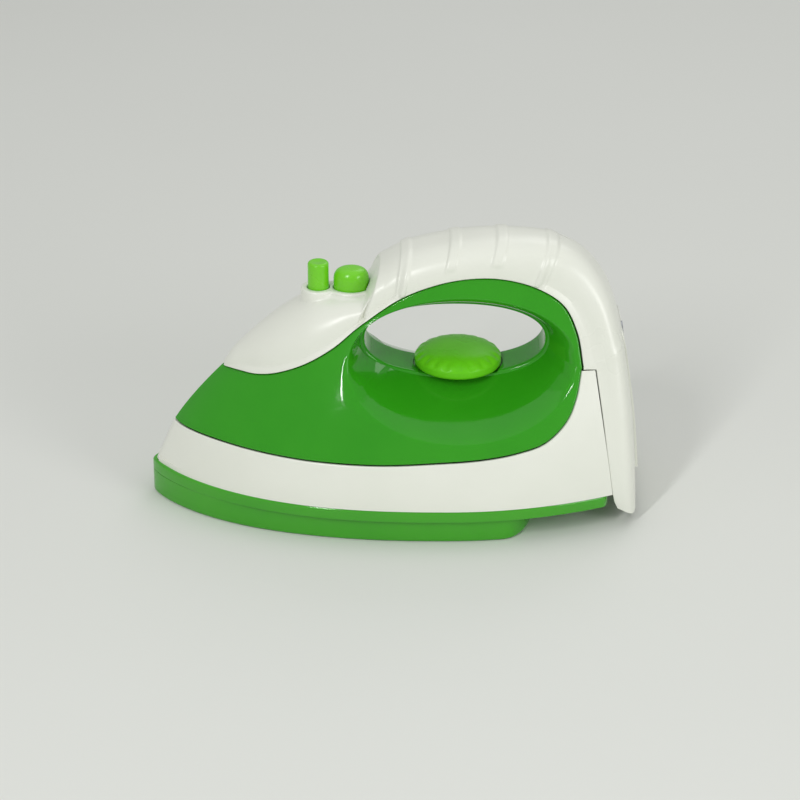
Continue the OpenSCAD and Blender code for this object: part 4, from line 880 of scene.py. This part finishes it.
class IronSizes(bpy.types.PropertyGroup):
    """Sizes of the iron that a user would change"""
    body_length: size("Length", "Length from the nose to the heel", 200)
    body_width: size("Width", "Width across the widest part of the skirt", 98)
    body_height: size("Height", "Height from the table to the top of the handle", 116)
    wall: size("Wall", "Wall of the moulded shells", 2)
    seam_gap: size("Seam gap", "Gap at every seam between two shells", 0.3)
    tank_inset: size("Tank inset", "How far the tank lies below the white shells", 0.6)
    lip_width: size("Lip width", "How far the white edge flares out beside the tank", 1.5)
    lip_height: size("Lip height", "Height of that flared edge", 2.6)
    rib_height: size("Rib height", "Height of a grip rib above the handle", 0.6)
    opening_length: size("Opening length", "Length of the opening under the handle", 73)
    opening_height: size("Opening height", "Height of the opening under the handle", 30.7)
    rim_width: size("Rim width", "Width of the band that lines the opening", 19)
    rim_round: size("Rim rounding", "Rounding where the lining turns into the dish", 1.6)
    dish_length: size("Dish length", "Length of the dish pressed in round the opening", 93)
    dish_height: size("Dish height", "Height of the dish pressed in round the opening", 54)
    sole_height: size("Sole height", "Height of the whole sole", 15)
    slab_height: size("Slab height", "Height of the inset slab below the sole's band", 10)
    slab_length: size("Slab length", "Length of the slab from the nose to its rear end", 158)
    slab_inset: size("Slab inset", "How far the slab's sides stand in from the band", 2.4)
    sole_toe: size("Sole toe", "How far the sole's tip stands out in front of the skirt", 1.6)
    sole_bevel: size("Sole bevel", "Rounding round the bottom of the sole", 1.4)
    peg_diameter: size("Peg diameter", "Diameter of the peg button", 8.5)
    peg_height: size("Peg height", "Height of the peg button above its collar", 10.8)
    oval_length: size("Oval length", "Length of the oval button", 14.3)
    oval_width: size("Oval width", "Width of the oval button", 12)
    oval_height: size("Oval height", "Height of the oval button above its collar", 8.2)
    collar_width: size("Collar width", "Width of the collar round the buttons", 2.6)
    dial_diameter: size("Dial diameter", "Diameter of the dial", 35.4)
    dial_edge_height: size("Dial edge", "Height of the dial's edge", 4.6)
    dial_dome_height: size("Dial dome", "Height of the dome above the dial's edge", 3.6)
    flute_depth: size("Flute depth", "Depth of a flute in the dial's shoulder", 0.25)
    flute_count: IntProperty(name="Flutes", description="Number of flutes round the dial", default=20,
                             min=8, max=40)
    screw_head: size("Screw head", "Diameter of a screw's head", 5)
    screw_shank: size("Screw shank", "Diameter of a screw's shank", 2.6)


class IronColours(bpy.types.PropertyGroup):
    """Colours of the iron's plastics"""
    shell: colour("Shell", "White shells", "#e9ebe1")
    tank: colour("Tank", "Clear green tank", "#43b722")
    sole: colour("Sole", "Clear green sole", "#50c120")
    button: colour("Buttons", "The two buttons", "#78d321")
    dial: colour("Dial", "The dial", "#72d321")


def screw_holes(s):
    """Radii of the holes for a screw's head and its shank."""
    return s.screw_head / 2 + SCREW_PLAY, s.screw_shank / 2 + SCREW_PLAY


def collar_loop(form, extra, z, steps=120):
    """Loop round both buttons at a distance, with a soft waist between them; z is one height or one each."""
    s = form.s
    peg, oval = form.px(PEG_X_SHARE), form.px(OVAL_X_SHARE)
    middle = (peg + oval) / 2 - COLLAR_SHIFT
    ratio = s.oval_width / s.oval_length
    turns = full_turn(steps)
    low, high = np.zeros(steps), np.full(steps, COLLAR_REACH)
    for _ in range(HALVINGS):
        reach = (low + high) / 2
        x, y = middle + reach * np.cos(turns), reach * np.sin(turns)
        first = np.hypot(x - peg, y) - s.peg_diameter / 2
        second = (np.hypot((x - oval) * ratio, y) - s.oval_width / 2) * OVAL_STRETCH
        blend = np.clip(0.5 + (second - first) / (2 * COLLAR_WAIST), 0, 1)
        distance = second * (1 - blend) + first * blend - COLLAR_WAIST * blend * (1 - blend)
        inside = distance < extra
        low, high = np.where(inside, reach, low), np.where(inside, high, reach)
    return xyz(x, y, z)


def oval_loop(form, extra, z, scale=1.0):
    """Level loop of the oval button's outline."""
    s, turns = form.s, full_turn(96)
    return xyz(form.px(OVAL_X_SHARE) + (s.oval_length / 2 + extra) * scale * np.cos(turns),
               (s.oval_width / 2 + extra) * scale * np.sin(turns), z)


def oval_prism(form, extra, low, high):
    """Points and faces of an upright prism on the oval's outline."""
    return loft([oval_loop(form, extra, low), oval_loop(form, extra, high)])


def sole_screw_places(form):
    """Places of the sole's screws in plan."""
    return [(form.px(x), y * form.s.body_width / 2) for x, y in SOLE_SCREW_SHARES]


def grille_points(form, z):
    """Places of the sound holes: one in a ring of six."""
    x = form.px(SPEAKER_X_SHARE)
    ring = [(x + HOLE_RING * math.cos(t), HOLE_RING * math.sin(t), z) for t in full_turn(HOLE_COUNT)]
    return [(x, 0, z)] + ring


class Builder:
    """What every operator of the iron shares."""
    bl_options = {"REGISTER", "UNDO"}

    def execute(self, context):
        self.sizes = context.scene.iron_sizes
        self.form = IronForm(self.sizes)
        self.build()
        return {"FINISHED"}


class IRON_OT_stage(Builder, bpy.types.Operator):
    """Pale floor, soft studio light and the camera"""
    bl_idname = "iron.stage"
    bl_label = "Stage"

    def build(self):
        scene = bpy.context.scene
        scene.view_settings.view_transform = "Standard"
        self.floor()
        self.world(scene)
        for name, (place, aim, width, height, power) in LAMPS.items():
            lamp = bpy.data.lights.new(name, "AREA")
            lamp.shape = "RECTANGLE"
            lamp.size, lamp.size_y = width, height
            lamp.energy = power
            obj = linked(name, lamp)
            obj.location = place
            obj.rotation_euler = (Vector(aim) - Vector(place)).to_track_quat("-Z", "Y").to_euler()
        camera = bpy.data.cameras.new("camera")
        camera.sensor_width = SENSOR
        camera.lens = LENS
        camera.clip_end = CAMERA_REACH
        scene.camera = linked("camera", camera)
        scene.camera.location = CAMERA_PLACE
        scene.camera.rotation_euler = (math.radians(90 - CAMERA_DROP), 0, 0)

    def floor(self):
        mesh = bpy.data.meshes.new("floor")
        corners = [(-1, -1), (1, -1), (1, 1), (-1, 1)]
        mesh.from_pydata([(x * FLOOR_REACH, y * FLOOR_REACH, 0) for x, y in corners], [], [(0, 1, 2, 3)])
        mesh.materials.append(look("floor"))
        obj = linked("floor", mesh)

    def world(self, scene):
        world = bpy.data.worlds.new("studio")
        scene.world = world
        world.use_nodes = True
        tree = world.node_tree
        tree.nodes.clear()
        plain = add(tree, "ShaderNodeBackground", {"Color": (1, 1, 1, 1), "Strength": SKY_STRENGTH})
        add(tree, "ShaderNodeOutputWorld", {"Surface": plain.outputs[0]})


class IRON_OT_upper_shells(Builder, bpy.types.Operator):
    """White handle halves: bridge, ribbed grip and heel, with the lip beside the tank"""
    bl_idname = "iron.upper_shells"
    bl_label = "Upper shells"

    def build(self):
        s, form = self.sizes, self.form
        outer, inner = self.skins()
        door_low, door_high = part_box("battery_door")
        gap, top = s.seam_gap, form.pz(COLLAR_Z_SHARE)
        below, oval_below = form.pz(COLLAR_CUT_SHARES[0]), form.pz(COLLAR_CUT_SHARES[1])
        cuts = [loft([collar_loop(form, s.collar_width * COLLAR_CUT, z) for z in (below, top + gap)]),
                oval_prism(form, 2 * gap, oval_below, top + s.oval_height + gap),
                block((float(form.back_x(door_high.z)) - DOOR_RECESS, door_low.y - gap, door_low.z - gap),
                      (door_high.x + s.body_width, door_high.y + gap, door_high.z + 2 * gap))]
        bores = [self.screw_bore(share) for share in CASE_SCREW_SHARES]
        for name, node, sign in (("left_shell", "handle_left", 1), ("right_shell", "handle_right", -1)):
            side = np.array([1, sign, 1])
            obj = mesh_object(name, *wall_between(outer * side, inner * side), "white_plastic")
            carve(obj, cuts if sign > 0 else cuts + bores)
            skin = BVHTree.FromObject(obj, bpy.context.evaluated_depsgraph_get())
            carve(obj, [self.boss(share, sign, skin) for share in CASE_SCREW_SHARES], "UNION")
            settle(obj, "body", "white_plastic", node)

    def skins(self):
        """Outer and inner grid of the left half."""
        s, form = self.sizes, self.form
        end = len(HANDLE_SHARES) - 1
        steps = np.concatenate([np.linspace(0, FRONT_STEP, FRONT_ROWS),
                                np.linspace(FRONT_STEP, end, HANDLE_STEPS + 1)[1:]])
        bridge, heel = sample(BRIDGE_SHARES, BRIDGE_STEPS), sample(HEEL_SHARES, HEEL_STEPS)
        handle = spline(HANDLE_SHARES, steps)
        rows = np.concatenate([bridge, handle, heel])
        first, last = len(bridge), len(bridge) + len(handle)
        crown = quarter(CROWN_STEPS)[1:]
        stations = np.concatenate([np.zeros(first), steps, np.full(len(heel), float(end))])
        ribs = FIRST_RIB + RIB_PITCH * np.arange(RIB_COUNT)
        from_first, to_last = (stations - ribs[0]) / RIB_HALF_SPAN, (ribs[-1] - stations) / RIB_HALF_SPAN
        grip = smooth(from_first + 0.5) * smooth(to_last + 0.5)
        flare = 1 - grip + REAR_FLARE * smooth((stations - ribs[-1]) / (end - ribs[-1]))
        flare[last:] = HEEL_FLARE * smooth(1 - np.linspace(0, HEEL_FADE, len(heel)))
        seam = np.full(len(rows), s.seam_gap)
        seam[:first] *= TIP_SEAM + (1 - TIP_SEAM) * smooth(np.arange(first) / TIP_ROWS)
        seam[last:] = HEEL_SEAM
        outer = form.section(rows, np.zeros(len(rows)), LIP_PARTS, crown, EDGE_ROUND, flare, seam)
        ridge = form.at(handle[:, 2], handle[:, 3])
        along = np.concatenate([[0], np.cumsum(np.linalg.norm(np.diff(ridge, axis=0), axis=1))])
        column = np.arange(outer.shape[1])
        above_lip = smooth((column - EDGE_RIB_START) / EDGE_RIB_RISE)
        on_crown = smooth((column - CROWN_RIB_START) / CROWN_RIB_RISE)
        lifts = np.zeros(outer.shape[:2])
        lifts[first:last] = -round_pull(along, FRONT_ROUND)[:, None] * above_lip
        for k, rib in enumerate(ribs):
            band = s.rib_height * smooth((1 - np.abs(stations - rib) / RIB_HALF_SPAN) / RIB_SLOPE)
            lifts += band[:, None] * (on_crown if 0 < k < RIB_COUNT - 1 else above_lip)
        parts = [directions(part) for part in (outer[:first], outer[first:last], outer[last:])]
        outer = outer + np.concatenate(parts) * lifts[..., None]
        # Behind the front corner the inner skin keeps its distance from the rounded outer one
        behind = rows.copy()
        behind[first - 1, 2] += BEHIND_SHARE
        corner = np.linspace(BEHIND_STEP, FRONT_STEP, FRONT_ROWS)
        behind[first:first + FRONT_ROWS] = spline(HANDLE_SHARES, corner)
        inner = form.section(behind, form.rows_wall(behind), LIP_PARTS, crown, 0, flare, seam)
        inner[0, :, 1] = 0
        return outer, inner

    def screw_bore(self, share):
        """Sunk hole of a case screw, in the right half."""
        half = self.sizes.body_width / 2
        seat, (head, bore) = SEAT_SHARE * share[2] * half, screw_holes(self.sizes)
        points, faces = stack((0, 0), (bore, -1 * MM, seat), (head, seat, half))
        return self.turned(points, share), faces

    def turned(self, points, share):
        """Points of a piece along Z, laid along Y at a case screw."""
        x, z = self.form.at(*share[:2])
        return xyz(x + points[:, 0], points[:, 2], z - points[:, 1])

    def boss(self, share, sign, skin):
        """Hollow screw boss inside a half; the right one runs up into the skin round its sunk hole."""
        s, turns = self.sizes, full_turn(48)
        reach, (head, bore) = share[2] * s.body_width / 2, screw_holes(s)
        out = s.screw_head / 2 + BOSS_WALL
        rows = [(bore, BOSS_GAP), (out, BOSS_GAP), (out, reach), (bore, reach)]
        if sign < 0:
            starts = self.turned(xyz(out * np.cos(turns), out * np.sin(turns), s.body_width), share)
            hits = [skin.ray_cast(Vector(start), Vector((0, -1, 0)))[0].y for start in starts]
            rim = np.array(hits) - s.wall / 2
            hole = rim.mean() + (rim - rim.mean()) * head / out
            rows[2:] = [(out, rim), (head, hole), (head, SEAT_SHARE * reach), (bore, SEAT_SHARE * reach)]
        loops = [xyz(r * np.cos(turns), r * np.sin(turns), z) for r, z in rows]
        index = np.arange(len(rows) * len(turns)).reshape(len(rows), -1)
        points = self.turned(np.concatenate(loops), share)
        points[:, 1] *= -sign
        return points, quads(np.pad(index, ((0, 1), (0, 1)), mode="wrap"))


class IRON_OT_tank(Builder, bpy.types.Operator):
    """Clear tank with the dish and the lined finger opening, in one welded piece"""
    bl_idname = "iron.tank"
    bl_label = "Tank"

    def build(self):
        s, form = self.sizes, self.form
        points, faces = wall_between(*form.tank_half(), wrap=True)
        middle = np.abs(points[:, 1]) < IN_PLANE
        faces = faces[~middle[faces].all(axis=1)]
        both = np.concatenate([points, points * (1, -1, 1)])
        faces = np.concatenate([faces, faces[:, ::-1] + len(points)])
        obj = mesh_object("tank_shell", both, faces, "tank_plastic", CRISP_CARVED)
        seat = form.saddle_z() + WELL_GAP
        carve(obj, [stack((form.px(DIAL_X_SHARE), 0), (WELL_BORE, seat - 3 * s.wall, seat),
                          (s.dial_diameter / 2 + WELL_PLAY, seat, seat + WELL_HEIGHT), steps=96)])
        settle(obj, "body", "tank_plastic", "tank_left", "tank_right", crisp=CRISP_CARVED)


class IRON_OT_lower_body(Builder, bpy.types.Operator):
    """White skirt with the floor, the screw bosses and the seats inside"""
    bl_idname = "iron.lower_body"
    bl_label = "Lower body"

    def build(self):
        s, form = self.sizes, self.form
        obj = mesh_object("skirt", *wall_between(*form.skirt_skins()), "white_plastic")
        low, high = s.sole_height, s.sole_height + s.wall
        end = form.px(BAND_END_SHARE)
        plate = [form.sole_loop(z, end, BAND_CORNER, s.sole_toe + FLOOR_PLAY, 0) for z in (low, high)]
        for loop in plate:
            loop[:, 0] -= np.where(loop[:, 0] > end - s.wall, s.wall, 0)
            loop[:, 0] = np.maximum(loop[:, 0], float(form.nose_x(high)) + FLOOR_TOE)
        tail = float(form.half_width(end, low)) - s.wall - 2 * s.lip_width
        speaker, lamp = (form.px(SPEAKER_X_SHARE), 0), (form.px(LAMP_SHARES[0]), 0)
        base, places = high - s.wall / 2, sole_screw_places(form)
        posts = [(place, s.screw_shank / 2 + SKIRT_POST_WALL, high + SKIRT_POST_HEIGHT) for place in places]
        posts += [(lamp, LAMP_POST, form.pz(LAMP_SHARES[1])), (speaker, RING_RADIUS, high + RING_HEIGHT)]
        joins = [loft(plate), block((end - 2 * s.wall, -tail, low), (end + FLOOR_TAIL, tail, high))]
        carve(obj, joins + [self.post(place, radius, base, top) for place, radius, top in posts], "UNION")
        bores = [stack(place, (SKIRT_BORE, 0, high + SKIRT_BORE_HEIGHT), steps=32) for place in places]
        carve(obj, [stack(speaker, (POCKET_RADIUS, high, high + POCKET_HEIGHT), steps=96)] + bores)
        drill(obj, grille_points(form, low), HOLE, HOLE_DEPTH, "white_plastic")
        settle(obj, "body", "white_plastic", "lower_body")

    def post(self, centre, radius, low, high):
        """A round post with a softened top edge."""
        shoulder = [(radius, high - POST_ROUND), (radius - POST_ROUND, high)]
        return lathe([(0, low), (radius, low), *shoulder, (0, high)], centre, 48)


class IRON_OT_sole(Builder, bpy.types.Operator):
    """Clear sole: the banded hollow slab with its dimples, sound holes and screw posts"""
    bl_idname = "iron.sole"
    bl_label = "Sole"

    def build(self):
        s, form = self.sizes, self.form
        slab_end = float(form.nose_x(s.sole_height)) - s.sole_toe + s.slab_length
        band_end = form.px(BAND_END_SHARE)

        def slab(z, inset):
            return form.sole_loop(z, slab_end, SLAB_CORNER, inset, s.slab_inset)

        def band(z, inset):
            return form.sole_loop(z, band_end, BAND_CORNER, inset, 0)

        loops = [slab(a, b) for a, b in fillet(s.sole_bevel)] + [slab(s.slab_height, 0)]
        loops += [band(s.slab_height + a, b) for a, b in fillet(LEDGE_ROUND)]
        loops += [band(s.sole_height - b, a) for a, b in fillet(RIM_GROOVE)]
        loops += [band(s.sole_height, s.wall), band(s.slab_height + s.wall, s.wall),
                  slab(s.slab_height + s.wall, s.wall), slab(s.wall, s.wall)]
        obj = mesh_object("sole_plate", *loft(loops), "sole_plastic", CRISP_CARVED)
        places, (head, bore) = sole_screw_places(form), screw_holes(s)
        posts = [stack(place, (SOLE_POST, s.wall / 2, s.sole_height - SOLE_POST_GAP)) for place in places]
        carve(obj, posts, "UNION")
        top = s.sole_height + MM
        carve(obj, [stack(place, (head, -MM, SOLE_SEAT), (bore, SOLE_SEAT, top)) for place in places])
        drill(obj, grille_points(form, 0), HOLE, HOLE_DEPTH, "sole_plastic")
        dimples = []
        for k in range(DIMPLE_COUNT):
            x = form.px(DIMPLE_SHARES[0] + DIMPLE_SHARES[1] * (k + 0.5) / DIMPLE_COUNT)
            y = float(form.half_width(x, s.sole_height)) - DIMPLE_INSET
            dimples += [(x, y, 0), (x, -y, 0)]
        drill(obj, dimples, DIMPLE, DIMPLE_DEPTH, "sole_plastic")
        settle(obj, "body", "sole_plastic", "sole", crisp=CRISP_CARVED)


class IRON_OT_collar(Builder, bpy.types.Operator):
    """White collar round both buttons, which flows into the bridge"""
    bl_idname = "iron.collar"
    bl_label = "Button collar"

    def build(self):
        s, form = self.sizes, self.form
        top, margin = form.pz(COLLAR_Z_SHARE), BUTTON_PLAY + s.collar_width
        depsgraph = bpy.context.evaluated_depsgraph_get()
        skins = [BVHTree.FromObject(bpy.data.objects[name], depsgraph)
                 for name in ("left_shell", "right_shell")]
        outside = collar_loop(form, margin + COLLAR_FLARE, top)
        ground = np.array([self.ground(skins, x, y, top) for x, y, _ in outside])
        edge = top - COLLAR_ROUND
        loops = [collar_loop(form, margin - a, top - b) for a, b in fillet(COLLAR_ROUND)[::-1]]
        loops += [collar_loop(form, margin + a, np.minimum(ground + b, edge)) for a, b in fillet(COLLAR_FLARE)]
        loops.append(collar_loop(form, margin + COLLAR_FLARE, np.minimum(ground, edge) - COLLAR_SUNK))
        loops.append(collar_loop(form, margin - COLLAR_DRAFT, top - COLLAR_DEPTH))
        obj = mesh_object("button_collar", *loft(loops[::-1]), "white_plastic", CRISP_CARVED)
        peg, radius, foot = (form.px(PEG_X_SHARE), 0), s.peg_diameter / 2 + BUTTON_PLAY, top - HOLE_FOOT
        chamfer = [(CHAMFER * wider, top + CHAMFER * z) for wider, z in MOUTH_SHARES]
        mouth = [(0, foot), *chamfer, (CHAMFER, top + MM)]
        carve(obj, [lathe([(0, foot), *((radius + wider, z) for wider, z in mouth), (0, top + MM)], peg),
                    loft([oval_loop(form, BUTTON_PLAY + wider, z) for wider, z in mouth]),
                    stack(peg, (radius + FLANGE, foot, top - FLANGE_SEAT), steps=96),
                    oval_prism(form, BUTTON_PLAY + FLANGE, foot, top - FLANGE_SEAT)])
        board, post_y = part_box("circuit_board")[1].z, s.oval_width / 2 + POST_OUT
        carve(obj, [stack((form.px(OVAL_X_SHARE), y), (POST_RADIUS, board, top - POST_DEPTH), steps=24)
                    for y in (-post_y, post_y)], "UNION")
        settle(obj, "body", "white_plastic", "button_bezel", crisp=CRISP_CARVED)

    def ground(self, skins, x, y, top):
        """Height of the bridge below a point, or a little below the collar's top where the handle starts."""
        hits = [skin.ray_cast(Vector((x, y, top + FEEL_HEIGHT)), Vector((0, 0, -1)))[0] for skin in skins]
        found = [hit.z for hit in hits if hit is not None]
        return min(max(found), top - LEAST_HEIGHT) if found else top - FREE_HEIGHT


class IRON_OT_buttons(Builder, bpy.types.Operator):
    """The peg button and the oval button"""
    bl_idname = "iron.buttons"
    bl_label = "Buttons"

    def build(self):
        s, form = self.sizes, self.form
        collar = form.pz(COLLAR_Z_SHARE)
        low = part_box("peg_button")[0].z
        step = low + FLANGE_HEIGHT
        radius, top = s.peg_diameter / 2, collar + s.peg_height
        profile = [(0, low), (radius + FLANGE, low), (radius + FLANGE, step), (radius, step)]
        profile += [(radius - a, top - b) for a, b in fillet(PEG_ROUND, 12)]
        profile += [(radius * part, top - PEG_DIP * (1 - (part / PEG_DIP_SHARE) ** 2) ** 2)
                    for part in PEG_DIP_PARTS]
        peg = mesh_object("peg_cap", *lathe(profile, (form.px(PEG_X_SHARE), 0)), "button_plastic", CRISP_CARVED)
        mount(peg, "peg", "button_plastic", "peg_button")
        dome = s.oval_height * OVAL_DOME_SHARE
        edge = collar + s.oval_height - dome
        loops = [oval_loop(form, FLANGE, low), oval_loop(form, FLANGE, step), oval_loop(form, 0, step)]
        loops += [oval_loop(form, 0, edge + dome * math.sin(t), scale=max(math.cos(t), 0) ** OVAL_POWER)
                  for t in quarter(OVAL_STEPS)]
        oval = mesh_object("oval_cap", *loft(loops), "button_plastic", CRISP_CARVED)
        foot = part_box("oval_button")[0].z
        pin = stack((form.px(OVAL_X_SHARE) - PIN_SHIFT, 0), (PIN_RADIUS, foot, low + MM), steps=32)
        carve(oval, [pin], "UNION")
        settle(oval, "oval", "button_plastic", "oval_button", crisp=CRISP_CARVED)


class IRON_OT_springs(Builder, bpy.types.Operator):
    """Coil springs under the buttons and in the battery box"""
    bl_idname = "iron.springs"
    bl_label = "Springs"

    def build(self):
        tree, wire = coil_tree(), SPRING_WIRE
        for node, joint in (("peg_spring", "peg_press"), ("oval_spring", "oval_press")):
            low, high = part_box(node)
            centre = ((low.x + high.x) / 2, (low.y + high.y) / 2, low.z + wire / 2)
            obj = point_object(node.replace("spring", "coil"), [centre], axes=[(0, 0, 1)])
            grow(obj, tree, {"Radius": (high.x - low.x - wire) / 2, "Height": high.z - low.z - wire,
                             "Wire": wire / 2, "Turns": SPRING_TURNS})
            obj.data.shade_smooth()
            mount(obj, "body", "spring_steel", node)
            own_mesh(obj)
        dressed("battery_coils", "battery_springs", "body", "spring_steel")


class IRON_OT_dial(Builder, bpy.types.Operator):
    """The fluted dial with its spindle, and the clip that holds it"""
    bl_idname = "iron.dial"
    bl_label = "Dial"

    def build(self):
        s, form = self.sizes, self.form
        radius, bevel = s.dial_diameter / 2, s.dial_edge_height * DIAL_EDGE_SHARE
        low, foot = form.saddle_z() + DIAL_GAP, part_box("dial")[0].z
        hub, edge = low - HUB_GAP, low + s.dial_edge_height - bevel
        rows = [(0, foot, 0), (SPINDLE, foot, 0), (SPINDLE, hub, 0), (HUB, hub, 0), (HUB, low, 0)]
        rows += [(radius - b, low + a, 0) for a, b in fillet(bevel)]
        for t in quarter(DOME_STEPS):
            up = math.degrees(t)
            shoulder = smooth((up - FLUTE_START) / FLUTE_RISE) * smooth((FLUTE_END - up) / FLUTE_FALL)
            rows.append((radius * max(math.cos(t), 0) ** DOME_POWER,
                         edge + (s.dial_dome_height + bevel) * math.sin(t), shoulder))
        turns = full_turn(FLUTE_STEPS * s.flute_count)
        wave = s.flute_depth * (0.5 + 0.5 * np.cos(turns * s.flute_count)) ** FLUTE_POWER
        loops, centre = [], form.px(DIAL_X_SHARE)
        for r, z, share in rows:
            reach = r - share * wave
            loops.append(xyz(centre + reach * np.cos(turns), reach * np.sin(turns), z - share * wave))
        obj = mesh_object("dial_cap", *loft(loops), "dial_plastic", CRISP_CARVED)
        mount(obj, "dial", "dial_plastic", "dial")
        dressed("dial_clip_ring", "dial_clip", "dial", "spring_steel", edge=0.15 * MM)


class IRON_OT_battery_bay(Builder, bpy.types.Operator):
    """Battery box, cells, contacts and the door"""
    bl_idname = "iron.battery_bay"
    bl_label = "Battery bay"

    def build(self):
        dressed("battery_box_tray", "battery_box", "body", "box_plastic", edge=0.3 * MM)
        dressed("cells", "battery_cells", "body", "cell_jacket", edge=0.4 * MM)
        dressed("contact_plates", "battery_plates", "body", "spring_steel", edge=0.08 * MM)
        dressed("battery_door_cover", "battery_door", "door", "white_plastic", edge=0.45 * MM)


class IRON_OT_works(Builder, bpy.types.Operator):
    """Circuit board, switches, speaker, lamp and leads"""
    bl_idname = "iron.works"
    bl_label = "Sound and light"

    def build(self):
        dressed("board", "circuit_board", "body", "board", edge=0.1 * MM)
        dressed("switches", "tact_switches", "body", "switch_plastic", edge=0.2 * MM)
        dressed("speaker_unit", "speaker", "body", "speaker_black", edge=0.3 * MM)
        dressed("lamp", "nose_lamp", "body", "lamp_plastic")
        for node, side in (("lead_red", 1), ("lead_black", -1)):
            route = [(LEAD_FRONT + (LEAD_REAR - LEAD_FRONT) * x, side * LEAD_SPREAD * y,
                      LEAD_LOW + (LEAD_HIGH - LEAD_LOW) * z) for x, y, z in LEAD_SHARES]
            obj = point_object(node + "_sleeve", route, [(k, k + 1) for k in range(len(route) - 1)])
            grow(obj, lead_tree(node), {"Radius": LEAD_RADIUS})
            obj.data.shade_smooth()
            mount(obj, "body", node, node)


class IRON_OT_screws(Builder, bpy.types.Operator):
    """Cross head screws of the case, the sole and the battery door"""
    bl_idname = "iron.screws"
    bl_label = "Screws"

    def build(self):
        s, form = self.sizes, self.form
        tree = screw_tree()
        sizes = {"Head diameter": s.screw_head, "Head height": HEAD_HEIGHT, "Shank diameter": s.screw_shank,
                 "Slot length": CROSS_LENGTH, "Slot width": CROSS_WIDTH}
        case = [(form.px(x), SEAT_SHARE * reach * s.body_width / 2, form.pz(z))
                for x, z, reach in CASE_SCREW_SHARES]
        sole = [(x, y, SOLE_SEAT) for x, y in sole_screw_places(form)]
        low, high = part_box("door_screw")
        out = Vector((math.cos(DOOR_LEAN), 0, math.sin(DOOR_LEAN)))
        seat = high - HEAD_HEIGHT * out - s.screw_head / 2 * Vector((out.z, 0, out.x))
        seat.y = (low.y + high.y) / 2
        for name, body, node, seats, axis, lengths in (
                ("case_screw_set", "body", "case_screws", case, (0, 1, 0), [y + CASE_GRIP for _, y, _ in case]),
                ("sole_screw_set", "body", "sole_screws", sole, (0, 0, -1), [SOLE_SCREW] * len(sole)),
                ("door_screw_set", "door", "door_screw", [seat], tuple(out), [DOOR_SCREW])):
            obj = point_object(name, seats, axes=[axis] * len(seats), lengths=lengths)
            grow(obj, tree, sizes)
            settle(obj, body, "screw_steel", node)


OPERATORS = (
    IRON_OT_stage, IRON_OT_upper_shells, IRON_OT_tank, IRON_OT_lower_body, IRON_OT_sole, IRON_OT_collar,
    IRON_OT_buttons, IRON_OT_springs, IRON_OT_dial, IRON_OT_battery_bay, IRON_OT_works, IRON_OT_screws)


class IRON_PT_panel(bpy.types.Panel):
    """Lists the iron's pieces in the sidebar"""
    bl_idname = "IRON_PT_panel"
    bl_label = "Toy steam iron"
    bl_space_type = "VIEW_3D"
    bl_region_type = "UI"
    bl_category = "Toy iron"

    def draw(self, context):
        for operator in OPERATORS:
            self.layout.operator(operator.bl_idname)


CLASSES = (IronSizes, IronColours, *OPERATORS, IRON_PT_panel)


def register():
    for item in CLASSES:
        bpy.utils.register_class(item)
    bpy.types.Scene.iron_sizes = PointerProperty(type=IronSizes)
    bpy.types.Scene.iron_colours = PointerProperty(type=IronColours)


def unregister():
    del bpy.types.Scene.iron_colours
    del bpy.types.Scene.iron_sizes
    for item in reversed(CLASSES):
        bpy.utils.unregister_class(item)


def main():
    register()
    bpy.ops.iron.stage()
    bpy.ops.iron.upper_shells()
    bpy.ops.iron.tank()
    bpy.ops.iron.lower_body()
    bpy.ops.iron.sole()
    bpy.ops.iron.collar()
    bpy.ops.iron.buttons()
    bpy.ops.iron.springs()
    bpy.ops.iron.dial()
    bpy.ops.iron.battery_bay()
    bpy.ops.iron.works()
    bpy.ops.iron.screws()


if __name__ == "__main__":
    main()
